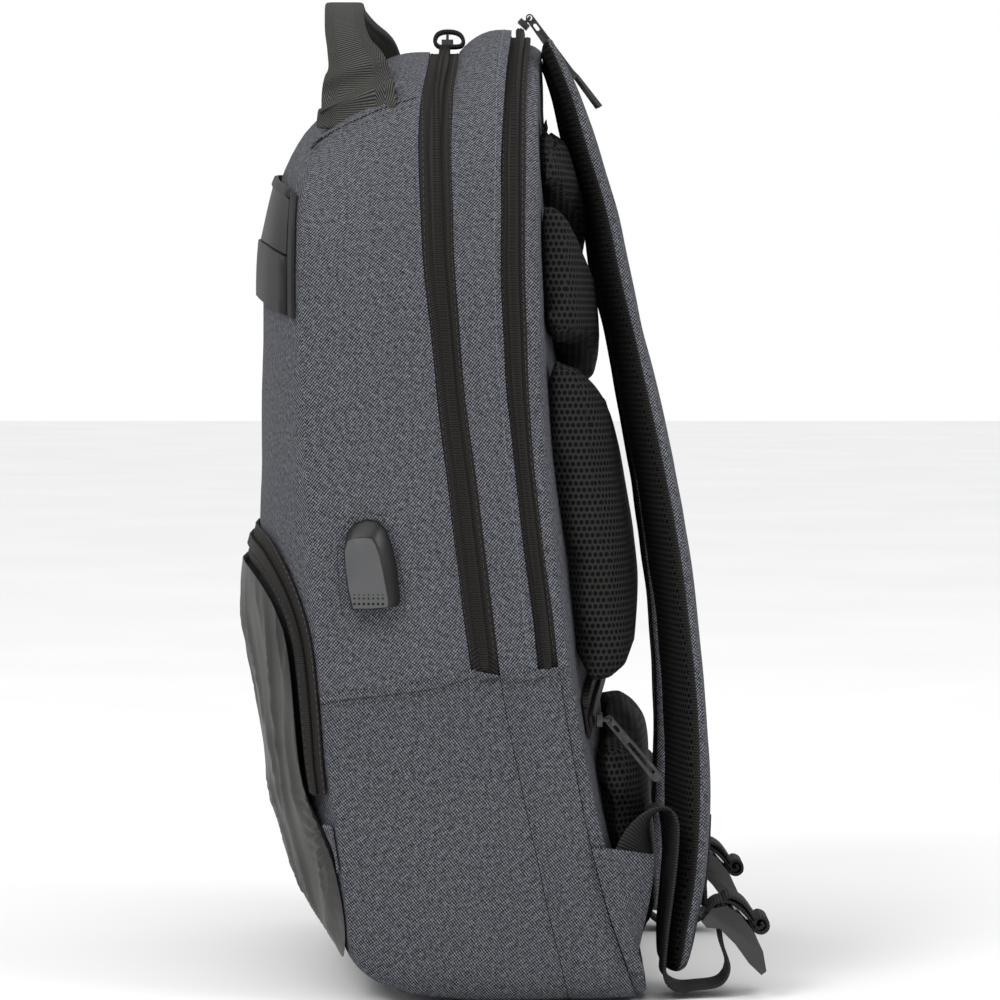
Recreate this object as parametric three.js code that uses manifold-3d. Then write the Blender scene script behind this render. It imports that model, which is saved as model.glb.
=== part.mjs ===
// Laptop backpack, in millimetres.
// X runs across the bag, Y from its front pocket to the wearer's back, and Z is up.
import * as THREE from 'three';
import Module from 'manifold-3d';
import { mergeVertices } from 'three/addons/utils/BufferGeometryUtils.js';

const manifold = await Module();
manifold.setup();

// Body
const bodyHeight = 464;
const bodyWidth = 288;
const bodyDepth = 132;
const fabricWall = 2.5;
const coatedWall = 1.6;
const frontBulge = 31;
const backBulge = 14;
const backEdgeRoll = 6;
const baseLift = 16;
const baseRadius = 16;
const shoulderPower = 2.2;
const seatGap = 0.3;

// Zips of the body
const tapeThickness = 1.4;
const tapeRecess = 0.9;
const coilWidth = 5;
const coilHeight = 2.4;
const zipEndHeight = 0.334 * bodyHeight;

// Front pocket
const pocketHeight = 0.472 * bodyHeight;
const pocketDepth = 13.5;
const pocketTapeInset = 9;
const pocketTopDrop = 17;
const pocketTapeEnd = 97;
const pocketPatchEnd = 60;

// Band on the front
const bandTop = 0.83 * bodyHeight;
const bandHeight = 54;
const bandArch = 14;
const bandProud = 2.4;
const rimWidth = 4;

// Handle
const handleSpan = 172;
const handleRise = 66;
const handleBaseWidth = 38;
const handleGripWidth = 20;
const handleThickness = 2.4;
const handleGripThickness = 5;

// Back
const padDepth = 21;
const padColumnGap = 20;
const padEdgeMargin = 11;
const lumbarDepth = 17.5;

// Straps
const strapWidth = 60;
const strapThickness = 12;
const strapSpacing = 96;
const strapSpread = 196;
const webbingWidth = 25;
const webbingThickness = 1.8;

const lineTables = {
  // Height is a share of bodyHeight, and the lines are shares of bodyDepth.
  frontSeam: {
    columns: ['height', 'line'],
    rows: [
      [0.000, -0.515],
      [0.097, -0.536],
      [0.165, -0.564],
      [0.210, -0.589],
      [0.322, -0.625],
      [0.448, -0.659],
      [0.643, -0.693],
      [0.745, -0.700],
      [0.823, -0.697],
      [0.860, -0.660],
      [0.905, -0.636],
    ],
  },
  mainCrease: {
    columns: ['height', 'line'],
    rows: [
      [0.000, 0.250],
      [0.040, 0.216],
      [0.097, 0.167],
      [0.165, 0.117],
      [0.264, 0.042],
      [0.330, -0.002],
    ],
  },
  mainZip: {
    columns: ['height', 'front', 'rear'],
    rows: [
      [0.342, -0.102, -0.005],
      [0.448, -0.155, -0.050],
      [0.545, -0.192, -0.090],
      [0.643, -0.230, -0.133],
      [0.745, -0.268, -0.155],
      [0.890, -0.283, -0.167],
      [0.975, -0.255, -0.145],
      [1.005, -0.245, -0.135],
    ],
  },
  laptopCrease: {
    columns: ['height', 'line'],
    rows: [
      [0.000, 0.492],
      [0.040, 0.443],
      [0.097, 0.371],
      [0.165, 0.303],
      [0.264, 0.242],
      [0.330, 0.209],
    ],
  },
  laptopZip: {
    columns: ['height', 'front', 'rear'],
    rows: [
      [0.342, 0.130, 0.203],
      [0.368, 0.112, 0.188],
      [0.448, 0.087, 0.159],
      [0.545, 0.047, 0.115],
      [0.643, 0.014, 0.096],
      [0.745, 0.002, 0.085],
      [0.890, 0.012, 0.089],
      [0.975, 0.042, 0.110],
      [1.005, 0.050, 0.120],
    ],
  },
  // Forward bulge of the front panel at the middle, as a share of frontBulge.
  frontSwell: {
    columns: ['height', 'line'],
    rows: [
      [0.000, 0.16],
      [0.056, 0.39],
      [0.104, 0.62],
      [0.170, 0.73],
      [0.278, 0.82],
      [0.412, 0.97],
      [0.545, 0.95],
      [0.643, 0.91],
      [0.773, 0.82],
      [0.830, 0.60],
      [0.866, 0.46],
      [0.905, 0.20],
    ],
  },
  // Forward depth of the pocket at the middle, as a share of pocketDepth. Height is a share of pocketHeight.
  pocketSwell: {
    columns: ['height', 'middle', 'edge', 'inset'],
    rows: [
      [0.00, 0.45, 0.08, 0.10],
      [0.12, 0.80, 0.08, 0.10],
      [0.25, 0.88, 0.10, 0.12],
      [0.33, 0.85, 0.25, 0.40],
      [0.44, 0.82, 0.62, 1.00],
      [0.60, 0.84, 0.66, 1.00],
      [0.74, 0.94, 0.66, 1.00],
      [0.84, 1.03, 0.64, 1.00],
      [0.92, 0.80, 0.62, 1.00],
      [1.00, 0.66, 0.60, 1.00],
    ],
  },
  // Rearward bulge of the back panel, as a share of backBulge.
  backSwell: {
    columns: ['height', 'line'],
    rows: [
      [0.00, 0.10],
      [0.10, 0.45],
      [0.30, 0.95],
      [0.45, 1.00],
      [0.60, 0.85],
      [0.80, 0.45],
      [0.95, 0.15],
      [1.01, 0.00],
    ],
  },
  // Half width at each height, as a share of half the bodyWidth.
  sideProfile: {
    columns: ['height', 'line'],
    rows: [
      [0.00, 0.970],
      [0.06, 0.990],
      [0.20, 1.000],
      [0.45, 1.000],
      [0.62, 0.985],
      [0.74, 0.965],
      [1.01, 0.940],
    ],
  },
};

// Sections of the body from its front seam to its back edge.
// Width is a share of the side profile, top and shoulder of bodyHeight, and base of baseLift.
const stationColumns = ['place', 'width', 'top', 'shoulder', 'base'];
const bodyStations = [
  [0.00, 0.965, 0.905, 0.735, 1.00],
  [0.10, 0.985, 0.918, 0.738, 0.50],
  [0.25, 0.995, 0.936, 0.740, 0.10],
  [0.50, 1.000, 0.958, 0.740, 0.00],
  [0.85, 1.000, 0.972, 0.740, 0.00],
  [1.00, 1.000, 0.969, 0.740, 0.00],
  [2.00, 1.000, 0.993, 0.742, 0.06],
  [3.00, 0.992, 0.977, 0.742, 0.14],
];

const zipEnd = zipEndHeight / bodyHeight;
const sideHeights = [0.10, 0.17, 0.25, zipEnd - 0.003, zipEnd + 0.003, 0.43, 0.53, 0.63];
const shoulderSteps = 7;

function lookUp(columns, rows, column, at) {
  const valueIndex = columns.indexOf(column);
  const last = rows.length - 1;
  if (at <= rows[0][0]) return rows[0][valueIndex];
  if (at >= rows[last][0]) return rows[last][valueIndex];
  let i = 0;
  while (at > rows[i + 1][0]) i += 1;
  const slope = (a, b) => (rows[b][valueIndex] - rows[a][valueIndex]) / (rows[b][0] - rows[a][0]);
  const here = slope(i, i + 1);
  const gentler = (m) => (m * here <= 0 ? 0 : Math.sign(here) * Math.min(Math.abs(m), 3 * Math.abs(here)));
  const startSlope = i === 0 ? here : gentler((slope(i - 1, i) + here) / 2);
  const endSlope = i + 1 === last ? here : gentler((slope(i + 1, i + 2) + here) / 2);
  const span = rows[i + 1][0] - rows[i][0];
  const t = (at - rows[i][0]) / span;
  const t2 = t * t;
  const t3 = t2 * t;
  return (2 * t3 - 3 * t2 + 1) * rows[i][valueIndex] + (t3 - 2 * t2 + t) * span * startSlope
    + (3 * t2 - 2 * t3) * rows[i + 1][valueIndex] + (t3 - t2) * span * endSlope;
}

const tableValue = (name, column, at) => lookUp(lineTables[name].columns, lineTables[name].rows, column, at);

// Depth of each line on the side of the bag at a height.
const frontSeamAt = (z) => bodyDepth * tableValue('frontSeam', 'line', z / bodyHeight);
function zipLine(zip, crease, edge, side) {
  return (z) => {
    const share = z / bodyHeight;
    if (share > zipEnd) return bodyDepth * tableValue(zip, edge, share);
    return bodyDepth * tableValue(crease, 'line', share) + side * seatGap / 2;
  };
}
const mainZipFront = zipLine('mainZip', 'mainCrease', 'front', -1);
const mainZipRear = zipLine('mainZip', 'mainCrease', 'rear', 1);
const laptopZipFront = zipLine('laptopZip', 'laptopCrease', 'front', -1);
const laptopZipRear = zipLine('laptopZip', 'laptopCrease', 'rear', 1);
const backEdgeAt = (z) => laptopZipRear(z) + backEdgeRoll;

function station(place) {
  const value = (column) => lookUp(stationColumns, bodyStations, column, place);
  return { width: value('width'), top: value('top'), shoulder: value('shoulder'), base: value('base') };
}

const halfWidthAt = (z) => bodyWidth / 2 * tableValue('sideProfile', 'line', z / bodyHeight);

// Half of a body section, from the middle of its base round to the middle of its top.
function halfSection(place, inset) {
  const { width, top, shoulder, base } = station(place);
  const floor = base * baseLift + inset;
  const radius = Math.max(baseRadius - inset, 2);
  const wide = (z) => width * halfWidthAt(z) - inset;
  const points = [];
  for (const share of [0, 0.5]) points.push([share * (wide(floor) - radius), floor]);
  for (let i = 0; i <= 3; i += 1) {
    const angle = i / 3 * Math.PI / 2;
    const z = floor + radius * (1 - Math.cos(angle));
    points.push([wide(z) - radius * (1 - Math.sin(angle)), z]);
  }
  const shoulderHeight = shoulder * bodyHeight;
  const cornerHeight = floor + radius;
  for (const share of sideHeights) {
    const z = share * bodyHeight;
    if (z > cornerHeight + 1) points.push([wide(z), z]);
    else points.push([wide(cornerHeight + 1), cornerHeight + 1]);
  }
  const rise = top * bodyHeight - inset - shoulderHeight;
  for (let i = 0; i <= shoulderSteps; i += 1) {
    const angle = i / shoulderSteps * Math.PI / 2;
    const x = Math.pow(Math.max(Math.cos(angle), 0), 2 / shoulderPower);
    const z = Math.pow(Math.sin(angle), 2 / shoulderPower);
    points.push([wide(shoulderHeight) * (i === shoulderSteps ? 0 : x), shoulderHeight + rise * z]);
  }
  return points;
}

// A whole ring from a half section, with depth from a function of the point.
function ringFrom(half, depth) {
  const right = half.map(([x, z]) => new THREE.Vector3(x, depth(x, z), z));
  const left = right.slice(1, -1).reverse().map(flipX);
  return [...right, ...left];
}

// One closed body through rings of equal count. Its ends are closed by a fan, or joined to each other.
function loft(rings, ends = 'fan') {
  const count = rings[0].length;
  const positions = [];
  for (const ring of rings) for (const p of ring) positions.push(p.x, p.y, p.z);
  const index = [];
  const quad = (a, b, c, d) => index.push(a, b, c, a, c, d);
  const quadTurned = (a, b, c, d) => index.push(a, b, d, b, c, d);
  const bands = ends === 'joined' ? rings.length : rings.length - 1;
  for (let r = 0; r < bands; r += 1) {
    const low = r * count;
    const high = ((r + 1) % rings.length) * count;
    for (let i = 0; i < count; i += 1) {
      const next = (i + 1) % count;
      const split = i < count / 2 ? quad : quadTurned;
      split(low + i, low + next, high + next, high + i);
    }
  }
  const capFan = (start, flip) => {
    const middle = new THREE.Vector3();
    for (let i = 0; i < count; i += 1) middle.add(new THREE.Vector3().fromArray(positions, (start + i) * 3));
    middle.divideScalar(count);
    const hub = positions.length / 3;
    positions.push(middle.x, middle.y, middle.z);
    for (let i = 0; i < count; i += 1) {
      const next = (i + 1) % count;
      if (flip) index.push(hub, start + i, start + next);
      else index.push(hub, start + next, start + i);
    }
  };
  const lastRing = (rings.length - 1) * count;
  if (ends === 'fan') {
    capFan(0, false);
    capFan(lastRing, true);
  }
  return outward(positions, index);
}

function outward(positions, index) {
  let volume = 0;
  const corner = (i) => new THREE.Vector3().fromArray(positions, index[i] * 3);
  for (let i = 0; i < index.length; i += 3) volume += corner(i).dot(corner(i + 1).cross(corner(i + 2)));
  const geometry = new THREE.BufferGeometry();
  geometry.setAttribute('position', new THREE.Float32BufferAttribute(positions, 3));
  geometry.setIndex(volume < 0 ? index.slice().reverse() : index);
  return mergeVertices(geometry, 1e-4);
}

// Solid joins and cuts
function toSolid(geometry) {
  const plain = geometry.clone();
  plain.deleteAttribute('normal');
  plain.deleteAttribute('uv');
  const merged = mergeVertices(plain, 1e-4);
  const vertProperties = new Float32Array(merged.attributes.position.array);
  const triVerts = new Uint32Array(merged.index.array);
  return new manifold.Manifold(new manifold.Mesh({ numProp: 3, vertProperties, triVerts }));
}

function toGeometry(solid) {
  const mesh = solid.getMesh();
  const geometry = new THREE.BufferGeometry();
  geometry.setAttribute('position', new THREE.Float32BufferAttribute(mesh.vertProperties, 3));
  geometry.setIndex([...mesh.triVerts]);
  return geometry;
}

const cutFrom = (geometry, cutter, shift = [0, 0, 0]) => toGeometry(
  toSolid(geometry).subtract(toSolid(cutter.clone().translate(...shift))),
);

function fuse(...geometries) {
  return toGeometry(geometries.map(toSolid).reduce((whole, next) => whole.add(next)));
}

const mix = (a, b, share) => a + (b - a) * share;
const flipX = (p) => new THREE.Vector3(-p.x, p.y, p.z);
const seatOnFront = (geometry) => cutFrom(geometry, frontFilled, [0, -seatGap, 0]);
const seatOnBack = (geometry) => cutFrom(geometry, backFilled, [0, seatGap, 0]);

// Half width of a body section at a height, also where its shoulder turns in.
function sectionReach(place, z) {
  const { width, top, shoulder } = station(place);
  const shoulderHeight = shoulder * bodyHeight;
  if (z <= shoulderHeight) return width * halfWidthAt(z);
  const up = Math.min((z - shoulderHeight) / (top * bodyHeight - shoulderHeight), 1);
  return width * halfWidthAt(shoulderHeight) * Math.pow(1 - Math.pow(up, shoulderPower), 1 / shoulderPower);
}

// Height of a section's outline over a place across the bag
function sectionTopAt(place, x) {
  const { width, top, shoulder } = station(place);
  const shoulderHeight = shoulder * bodyHeight;
  const out = Math.min(Math.abs(x) / (width * halfWidthAt(shoulderHeight)), 1);
  const up = Math.pow(1 - Math.pow(out, shoulderPower), 1 / shoulderPower);
  return shoulderHeight + (top * bodyHeight - shoulderHeight) * up;
}

// Body shells
function frontSurface(x, z) {
  const across = Math.min(Math.abs(x) / Math.max(sectionReach(0, z), 1), 1);
  const swell = frontBulge * tableValue('frontSwell', 'line', z / bodyHeight);
  return frontSeamAt(z) - swell * (1 - Math.pow(across, 3));
}

function backSurface(x, z) {
  const across = Math.min(Math.abs(x) / Math.max(sectionReach(3, z), 1), 1);
  const swell = backBulge * tableValue('backSwell', 'line', z / bodyHeight);
  return backEdgeAt(z) + swell * (1 - across * across);
}

const panelCentre = 0.45 * bodyHeight;
const shrink = (half, share) => half.map(([x, z]) => [x * share, mix(panelCentre, z, share)]);
const panelShares = [0.06, 0.25, 0.45, 0.65, 0.82, 0.94];
const innerShares = [0.10, 0.40, 0.70, 0.93];

function sideRing(place, from, to, share, inset) {
  return ringFrom(halfSection(place, inset), (x, z) => mix(from(z), to(z), share));
}

function frontShellRings() {
  const outer = panelShares.map((share) => ringFrom(shrink(halfSection(0, 0), share), frontSurface));
  for (const share of [0, 0.10, 0.25, 0.5, 0.75, 1]) {
    outer.push(sideRing(share, frontSeamAt, mainZipFront, share, 0));
  }
  const inner = innerShares.map((share) => ringFrom(
    shrink(halfSection(0, fabricWall), share),
    (x, z) => frontSurface(x, z) + fabricWall,
  ));
  for (const share of [0.06, 0.25, 0.5, 1]) {
    inner.push(sideRing(share, frontSeamAt, mainZipFront, share, fabricWall));
  }
  return { outer, inner };
}

function gussetRings() {
  const rings = (inset) => [0, 0.5, 1].map(
    (share) => sideRing(1 + share, mainZipRear, laptopZipFront, share, inset),
  );
  return { outer: rings(0), inner: rings(fabricWall) };
}

function backShellRings() {
  const outer = [ringFrom(halfSection(3, 0), (x, z) => laptopZipRear(z))];
  outer.push(ringFrom(halfSection(3, 0.5), (x, z) => mix(laptopZipRear(z), backEdgeAt(z), 0.5)));
  outer.push(ringFrom(halfSection(3, 3), (x, z) => backEdgeAt(z)));
  for (const share of [...panelShares].reverse()) {
    outer.push(ringFrom(shrink(halfSection(3, 3), share), backSurface));
  }
  const inner = [ringFrom(halfSection(3, fabricWall), (x, z) => laptopZipRear(z))];
  for (const share of [...innerShares].reverse()) {
    inner.push(ringFrom(
      shrink(halfSection(3, 3 + fabricWall), share),
      (x, z) => backSurface(x, z) - fabricWall,
    ));
  }
  return { outer, inner };
}

const frontRings = frontShellRings();
const backRings = backShellRings();
const frontShell = loft([...frontRings.outer, ...frontRings.inner.slice().reverse()]);
// The filled shells run on past their open rims, so that they can cut what seats on them.
const frontEnd = ringFrom(halfSection(1, 0), (x, z) => mainZipFront(z) + bodyDepth / 2);
const frontFilled = loft([...frontRings.outer, frontEnd]);
const gussetParts = gussetRings();
const gussetRing = loft([...gussetParts.outer, ...gussetParts.inner.slice().reverse()], 'joined');
const backShell = loft([...backRings.outer.slice().reverse(), ...backRings.inner]);
const backEnd = ringFrom(halfSection(3, 0), (x, z) => laptopZipRear(z) - bodyDepth / 2);
const backFilled = loft([backEnd, ...backRings.outer]);

// Zip arches round the body
function zipArch(place, frontLine, rearLine, edges, drop, thickness) {
  const [nearShare, farShare] = edges;
  const outerHalf = halfSection(place, drop).filter(([, z]) => z > zipEndHeight + 1);
  const innerHalf = halfSection(place, drop + thickness).filter(([, z]) => z > zipEndHeight + 1);
  const sections = outerHalf.map(([x, z], i) => {
    const [innerX, innerZ] = innerHalf[i];
    const at = (share, zz) => mix(frontLine(zz) + seatGap, rearLine(zz) - seatGap, share);
    return [
      new THREE.Vector3(x, at(nearShare, z), z),
      new THREE.Vector3(x, at(farShare, z), z),
      new THREE.Vector3(innerX, at(farShare, innerZ), innerZ),
      new THREE.Vector3(innerX, at(nearShare, innerZ), innerZ),
    ];
  });
  const left = sections.slice(0, -1).reverse().map((ring) => ring.map(flipX));
  return loft([...sections, ...left]);
}

function zipPair(place, frontLine, rearLine) {
  const tape = zipArch(place, frontLine, rearLine, [0, 1], tapeRecess, tapeThickness);
  const width = rearLine(0.6 * bodyHeight) - frontLine(0.6 * bodyHeight);
  const half = coilWidth / width / 2;
  const lift = coilHeight - tapeRecess + seatGap;
  const coil = zipArch(place, frontLine, rearLine, [0.5 - half, 0.5 + half], -lift, coilHeight);
  return { tape, coil };
}

const mainZip = zipPair(1, mainZipFront, mainZipRear);
const laptopZip = zipPair(2.5, laptopZipFront, laptopZipRear);

// Front pocket
const pocketCentre = 0.48 * pocketHeight;
const pocketCorner = 62;
const pocketSideShares = [0.19, 0.28, 0.33, 0.38, 0.445, 0.56];
const pocketTable = (column, z) => tableValue('pocketSwell', column, z / pocketHeight);

// Half outline of the pocket. Reach goes from 0 at its seam on the body to 1 at the edge of its panel.
function pocketHalf(reach) {
  const floor = baseLift + 2;
  const wide = (z) => sectionReach(0, z) - 1 - reach * pocketTapeInset * pocketTable('inset', z);
  const points = [[0, floor], [0.5 * wide(floor), floor]];
  for (let i = 0; i <= 2; i += 1) {
    const angle = i / 2 * Math.PI / 2;
    const z = floor + baseRadius * (1 - Math.cos(angle));
    points.push([wide(z) - baseRadius * (1 - Math.sin(angle)), z]);
  }
  for (const share of pocketSideShares) points.push([wide(share * pocketHeight), share * pocketHeight]);
  const turn = pocketHeight - pocketCorner;
  const rise = pocketCorner - reach * pocketTopDrop;
  for (let i = 0; i <= 5; i += 1) {
    const angle = i / 5 * Math.PI / 2;
    points.push([wide(turn) - pocketCorner * (1 - Math.cos(angle)), turn + rise * Math.sin(angle)]);
  }
  const top = turn + rise;
  points.push([0.5 * (wide(turn) - pocketCorner), top + 1], [0, top + 1.3]);
  return points;
}

const pocketFolds = {
  // Across is a share of half the bodyWidth, heights are shares of pocketHeight, and depth is in millimetres.
  columns: ['across', 'low', 'high', 'width', 'depth'],
  rows: [
    [-0.62, 0.10, 0.62, 0.07, -1.6],
    [-0.30, 0.15, 0.80, 0.06, 1.2],
    [0.06, 0.08, 0.55, 0.08, -1.3],
    [0.38, 0.22, 0.85, 0.06, 1.3],
    [0.66, 0.10, 0.66, 0.07, -1.8],
    [0.86, 0.12, 0.46, 0.05, 1.5],
  ],
};

function foldDepth(x, z) {
  let depth = 0;
  for (const [across, low, high, width, size] of pocketFolds.rows) {
    const side = (x / (bodyWidth / 2) - across) / width;
    const along = (z / pocketHeight - (low + high) / 2) / ((high - low) / 2);
    depth += size * Math.exp(-side * side) * Math.max(0, 1 - along * along);
  }
  return depth;
}

function pocketFront(x, z, share) {
  const edge = pocketTable('edge', z);
  const middle = pocketTable('middle', z);
  const crown = 1 - Math.pow(share, 3.5);
  return frontSurface(x, z) - pocketDepth * mix(edge, middle, crown) - foldDepth(x, z) * crown;
}

function pocketPanelRings() {
  const rim = pocketHalf(1);
  const shrinkPocket = (share) => rim.map(([x, z]) => [x * share, mix(pocketCentre, z, share)]);
  const outer = [0.06, 0.22, 0.4, 0.56, 0.7, 0.82, 0.92, 0.975, 1].map(
    (share) => ringFrom(shrinkPocket(share), (x, z) => pocketFront(x, z, share)),
  );
  const hem = ringFrom(shrinkPocket(0.985), (x, z) => {
    const low = frontSurface(x, z) - 2 * seatGap;
    const high = pocketFront(x, z, 1) + coatedWall;
    const up = THREE.MathUtils.smoothstep(z, pocketPatchEnd - 6, pocketTapeEnd);
    return mix(low, high, up);
  });
  const inner = [0.95, 0.8, 0.6, 0.35, 0.1].map(
    (share) => ringFrom(shrinkPocket(share), (x, z) => pocketFront(x, z, share) + coatedWall),
  );
  return [...outer, hem, ...inner];
}

// The edges between which the pocket's zip runs, from the right side over the top to the left.
function pocketEdges(lowest, highest) {
  const seam = pocketHalf(0);
  const panel = pocketHalf(1);
  const rows = [];
  seam.forEach(([x, z], i) => {
    if (z < lowest - 1 || z > highest + 1) return;
    const [panelX, panelZ] = panel[i];
    const a = new THREE.Vector3(x, frontSurface(x, z) - 2.6 * seatGap - tapeThickness, z);
    const depth = pocketDepth * pocketTable('edge', panelZ) - coatedWall - 2 * seatGap;
    const b = new THREE.Vector3(panelX, frontSurface(panelX, panelZ) - depth, panelZ);
    rows.push([a, b]);
  });
  return rows;
}

// A flat band between two edges, as sections from one end to the other.
function bandSections(rows, from, to, lift, thickness) {
  return rows.map(([a, b], i) => {
    const before = rows[Math.max(i - 1, 0)][0];
    const after = rows[Math.min(i + 1, rows.length - 1)][0];
    const along = after.clone().sub(before);
    const normal = b.clone().sub(a).cross(along).normalize();
    if (normal.y > 0) normal.negate();
    const point = (share, height) => a.clone().lerp(b, share).addScaledVector(normal, height);
    return [point(from, lift), point(to, lift), point(to, lift - thickness), point(from, lift - thickness)];
  });
}

function pocketZip(from, to, lift, thickness) {
  const right = pocketEdges(pocketTapeEnd, pocketHeight + 5);
  const rows = [...right, ...right.slice(0, -1).reverse().map(([a, b]) => [flipX(a), flipX(b)])];
  return loft(bandSections(rows, from, to, lift, thickness));
}

const patchRows = pocketEdges(pocketPatchEnd, pocketTapeEnd - 1);
const pocketPatch = seatOnFront(loft(bandSections(patchRows, 0.02, 0.96, 0.3, tapeThickness)));

// Pieces that lie on the front panel between two heights, across a share of its width
function frontPatch(fromShare, toShare, steps, high, low, thickness) {
  const rows = 2;
  const sections = [];
  for (let i = 0; i <= steps; i += 1) {
    const share = mix(fromShare, toShare, i / steps);
    const lower = [];
    const upper = [];
    for (let j = 0; j <= rows; j += 1) {
      const z = mix(high, low, j / rows) - bandArch * share * share;
      const x = share * sectionReach(0, z);
      const y = frontSurface(x, z) - 1.5 * seatGap;
      lower.push(new THREE.Vector3(x, y, z));
      upper.push(new THREE.Vector3(x, y - thickness, z));
    }
    sections.push([...upper, ...lower.reverse()]);
  }
  return seatOnFront(loft(sections));
}

// A rim at one end of the band, from its top to its foot
function bandRim(fromShare, toShare, thickness) {
  const steps = 6;
  const sections = [];
  for (let i = 0; i <= steps; i += 1) {
    const level = mix(bandTop + rimWidth, bandTop - bandHeight, i / steps);
    const point = (share, proud) => {
      const z = level - bandArch * share * share;
      const x = share * sectionReach(0, z);
      return new THREE.Vector3(x, frontSurface(x, z) - 1.5 * seatGap - proud, z);
    };
    const rear = [point(fromShare, 0), point(toShare, 0)];
    sections.push([...rear, point(toShare, thickness), point(fromShare, thickness)]);
  }
  return seatOnFront(loft(sections));
}

// Port housing on the right side
const portWidth = 26;
const portHeight = 42;
const portProud = 8.5;
const portFrom = -71.5;
const portFoot = 184;
const portOutline = {
  columns: ['footAcross', 'footUp', 'faceAcross', 'faceUp'],
  rows: [
    [0.14, 0.01, 0.18, 0.03],
    [0.07, 0.22, 0.10, 0.24],
    [0.02, 0.45, 0.05, 0.46],
    [0.00, 0.66, 0.03, 0.66],
    [0.05, 0.83, 0.08, 0.76],
    [0.19, 0.95, 0.18, 0.79],
    [0.41, 1.00, 0.38, 0.80],
    [0.60, 0.98, 0.50, 0.79],
    [0.74, 0.90, 0.56, 0.74],
    [0.86, 0.71, 0.63, 0.62],
    [0.95, 0.45, 0.70, 0.42],
    [1.00, 0.14, 0.79, 0.12],
    [0.98, 0.055, 0.78, 0.045],
    [0.58, 0.01, 0.48, 0.03],
  ],
};

function portHousing() {
  const seat = bodyWidth / 2;
  const ring = (x, share) => portOutline.rows.map(([u, v, faceU, faceV]) => new THREE.Vector3(
    x,
    portFrom + portWidth * mix(u, faceU, share),
    portFoot + portHeight * mix(v, faceV, share),
  ));
  const levels = [[0.3, 0], [0.5, 0.12], [0.9, 0.82], [1, 1]];
  const rings = levels.map(([proud, share]) => ring(seat + proud * portProud, share));
  return cutFrom(loft([ring(seat - 4, 0), ...rings]), frontFilled, [seatGap, 0, 0]);
}

// A strip along stations of place, width and thickness. Across gives the way that its width runs.
function ribbon(stations, corners = 4) {
  const places = stations.map(({ at }) => new THREE.Vector3(...at));
  const sections = stations.map(({ across, width, thickness }, i) => {
    const before = places[Math.max(i - 1, 0)];
    const along = places[Math.min(i + 1, places.length - 1)].clone().sub(before).normalize();
    const side = new THREE.Vector3(...across);
    side.addScaledVector(along, -side.dot(along)).normalize();
    const face = along.clone().cross(side).normalize();
    const point = (u, v) => places[i].clone().addScaledVector(side, u * width / 2)
      .addScaledVector(face, v * thickness / 2);
    if (corners === 4) return [point(-1, -1), point(1, -1), point(1, 1), point(-1, 1)];
    return [point(-0.9, -0.8), point(-0.5, -1), point(0.5, -1), point(0.9, -0.8), point(1, 0),
      point(0.9, 0.8), point(0.5, 1), point(-0.5, 1), point(-0.9, 0.8), point(-1, 0)];
  });
  return loft(sections);
}

// Handle: a webbing arch, folded at its grip. The left leg keeps its width further up.
const handleTable = {
  // Across is a share of half the handleSpan, up of handleRise, width and fold from base to grip.
  columns: ['across', 'up', 'back', 'grip', 'slope'],
  rows: [
    [1.02, 0.00, 6, 0.00, 0.42],
    [1.00, 0.18, 5, 0.00, 0.42],
    [0.95, 0.45, 3, 0.25, 0.30],
    [0.83, 0.72, 1, 0.70, 0.12],
    [0.62, 0.90, 0, 0.95, 0.03],
    [0.30, 0.98, 0, 1.00, 0.00],
    [0.00, 1.00, 0, 1.00, 0.00],
    [-0.30, 0.98, 0, 1.00, 0.00],
    [-0.62, 0.90, 1, 0.85, 0.03],
    [-0.83, 0.72, 3, 0.50, 0.12],
    [-0.95, 0.45, 5, 0.10, 0.30],
    [-1.00, 0.18, 6, 0.00, 0.42],
    [-1.02, 0.00, 6, 0.00, 0.42],
  ],
};
const handleLine = -0.58 * bodyDepth;
const handleFoot = bodyHeight * 0.872;

function handleArch() {
  const stations = handleTable.rows.map(([across, up, back, grip, slope]) => ({
    at: [across * handleSpan / 2, handleLine + back, handleFoot + up * handleRise],
    across: [0, 1, slope],
    width: mix(handleBaseWidth, handleGripWidth, grip),
    thickness: mix(handleThickness, handleGripThickness, grip),
  }));
  return cutFrom(ribbon(stations), frontFilled, [0, 0, seatGap]);
}

// Back pads. Heights are shares of bodyHeight, outer at the side edge and inner at the middle channel.
const padTable = {
  columns: ['outerTop', 'outerBottom', 'innerTop', 'innerBottom'],
  rows: [
    [0.905, 0.826, 0.890, 0.704],
    [0.812, 0.668, 0.690, 0.606],
    [0.654, 0.310, 0.592, 0.352],
  ],
};
const padSwell = {
  columns: ['height', 'line'],
  rows: [
    [0.30, 0.95],
    [0.38, 1.00],
    [0.60, 0.92],
    [0.72, 0.76],
    [0.80, 0.62],
    [0.86, 0.32],
    [0.90, 0.18],
  ],
};

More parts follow.
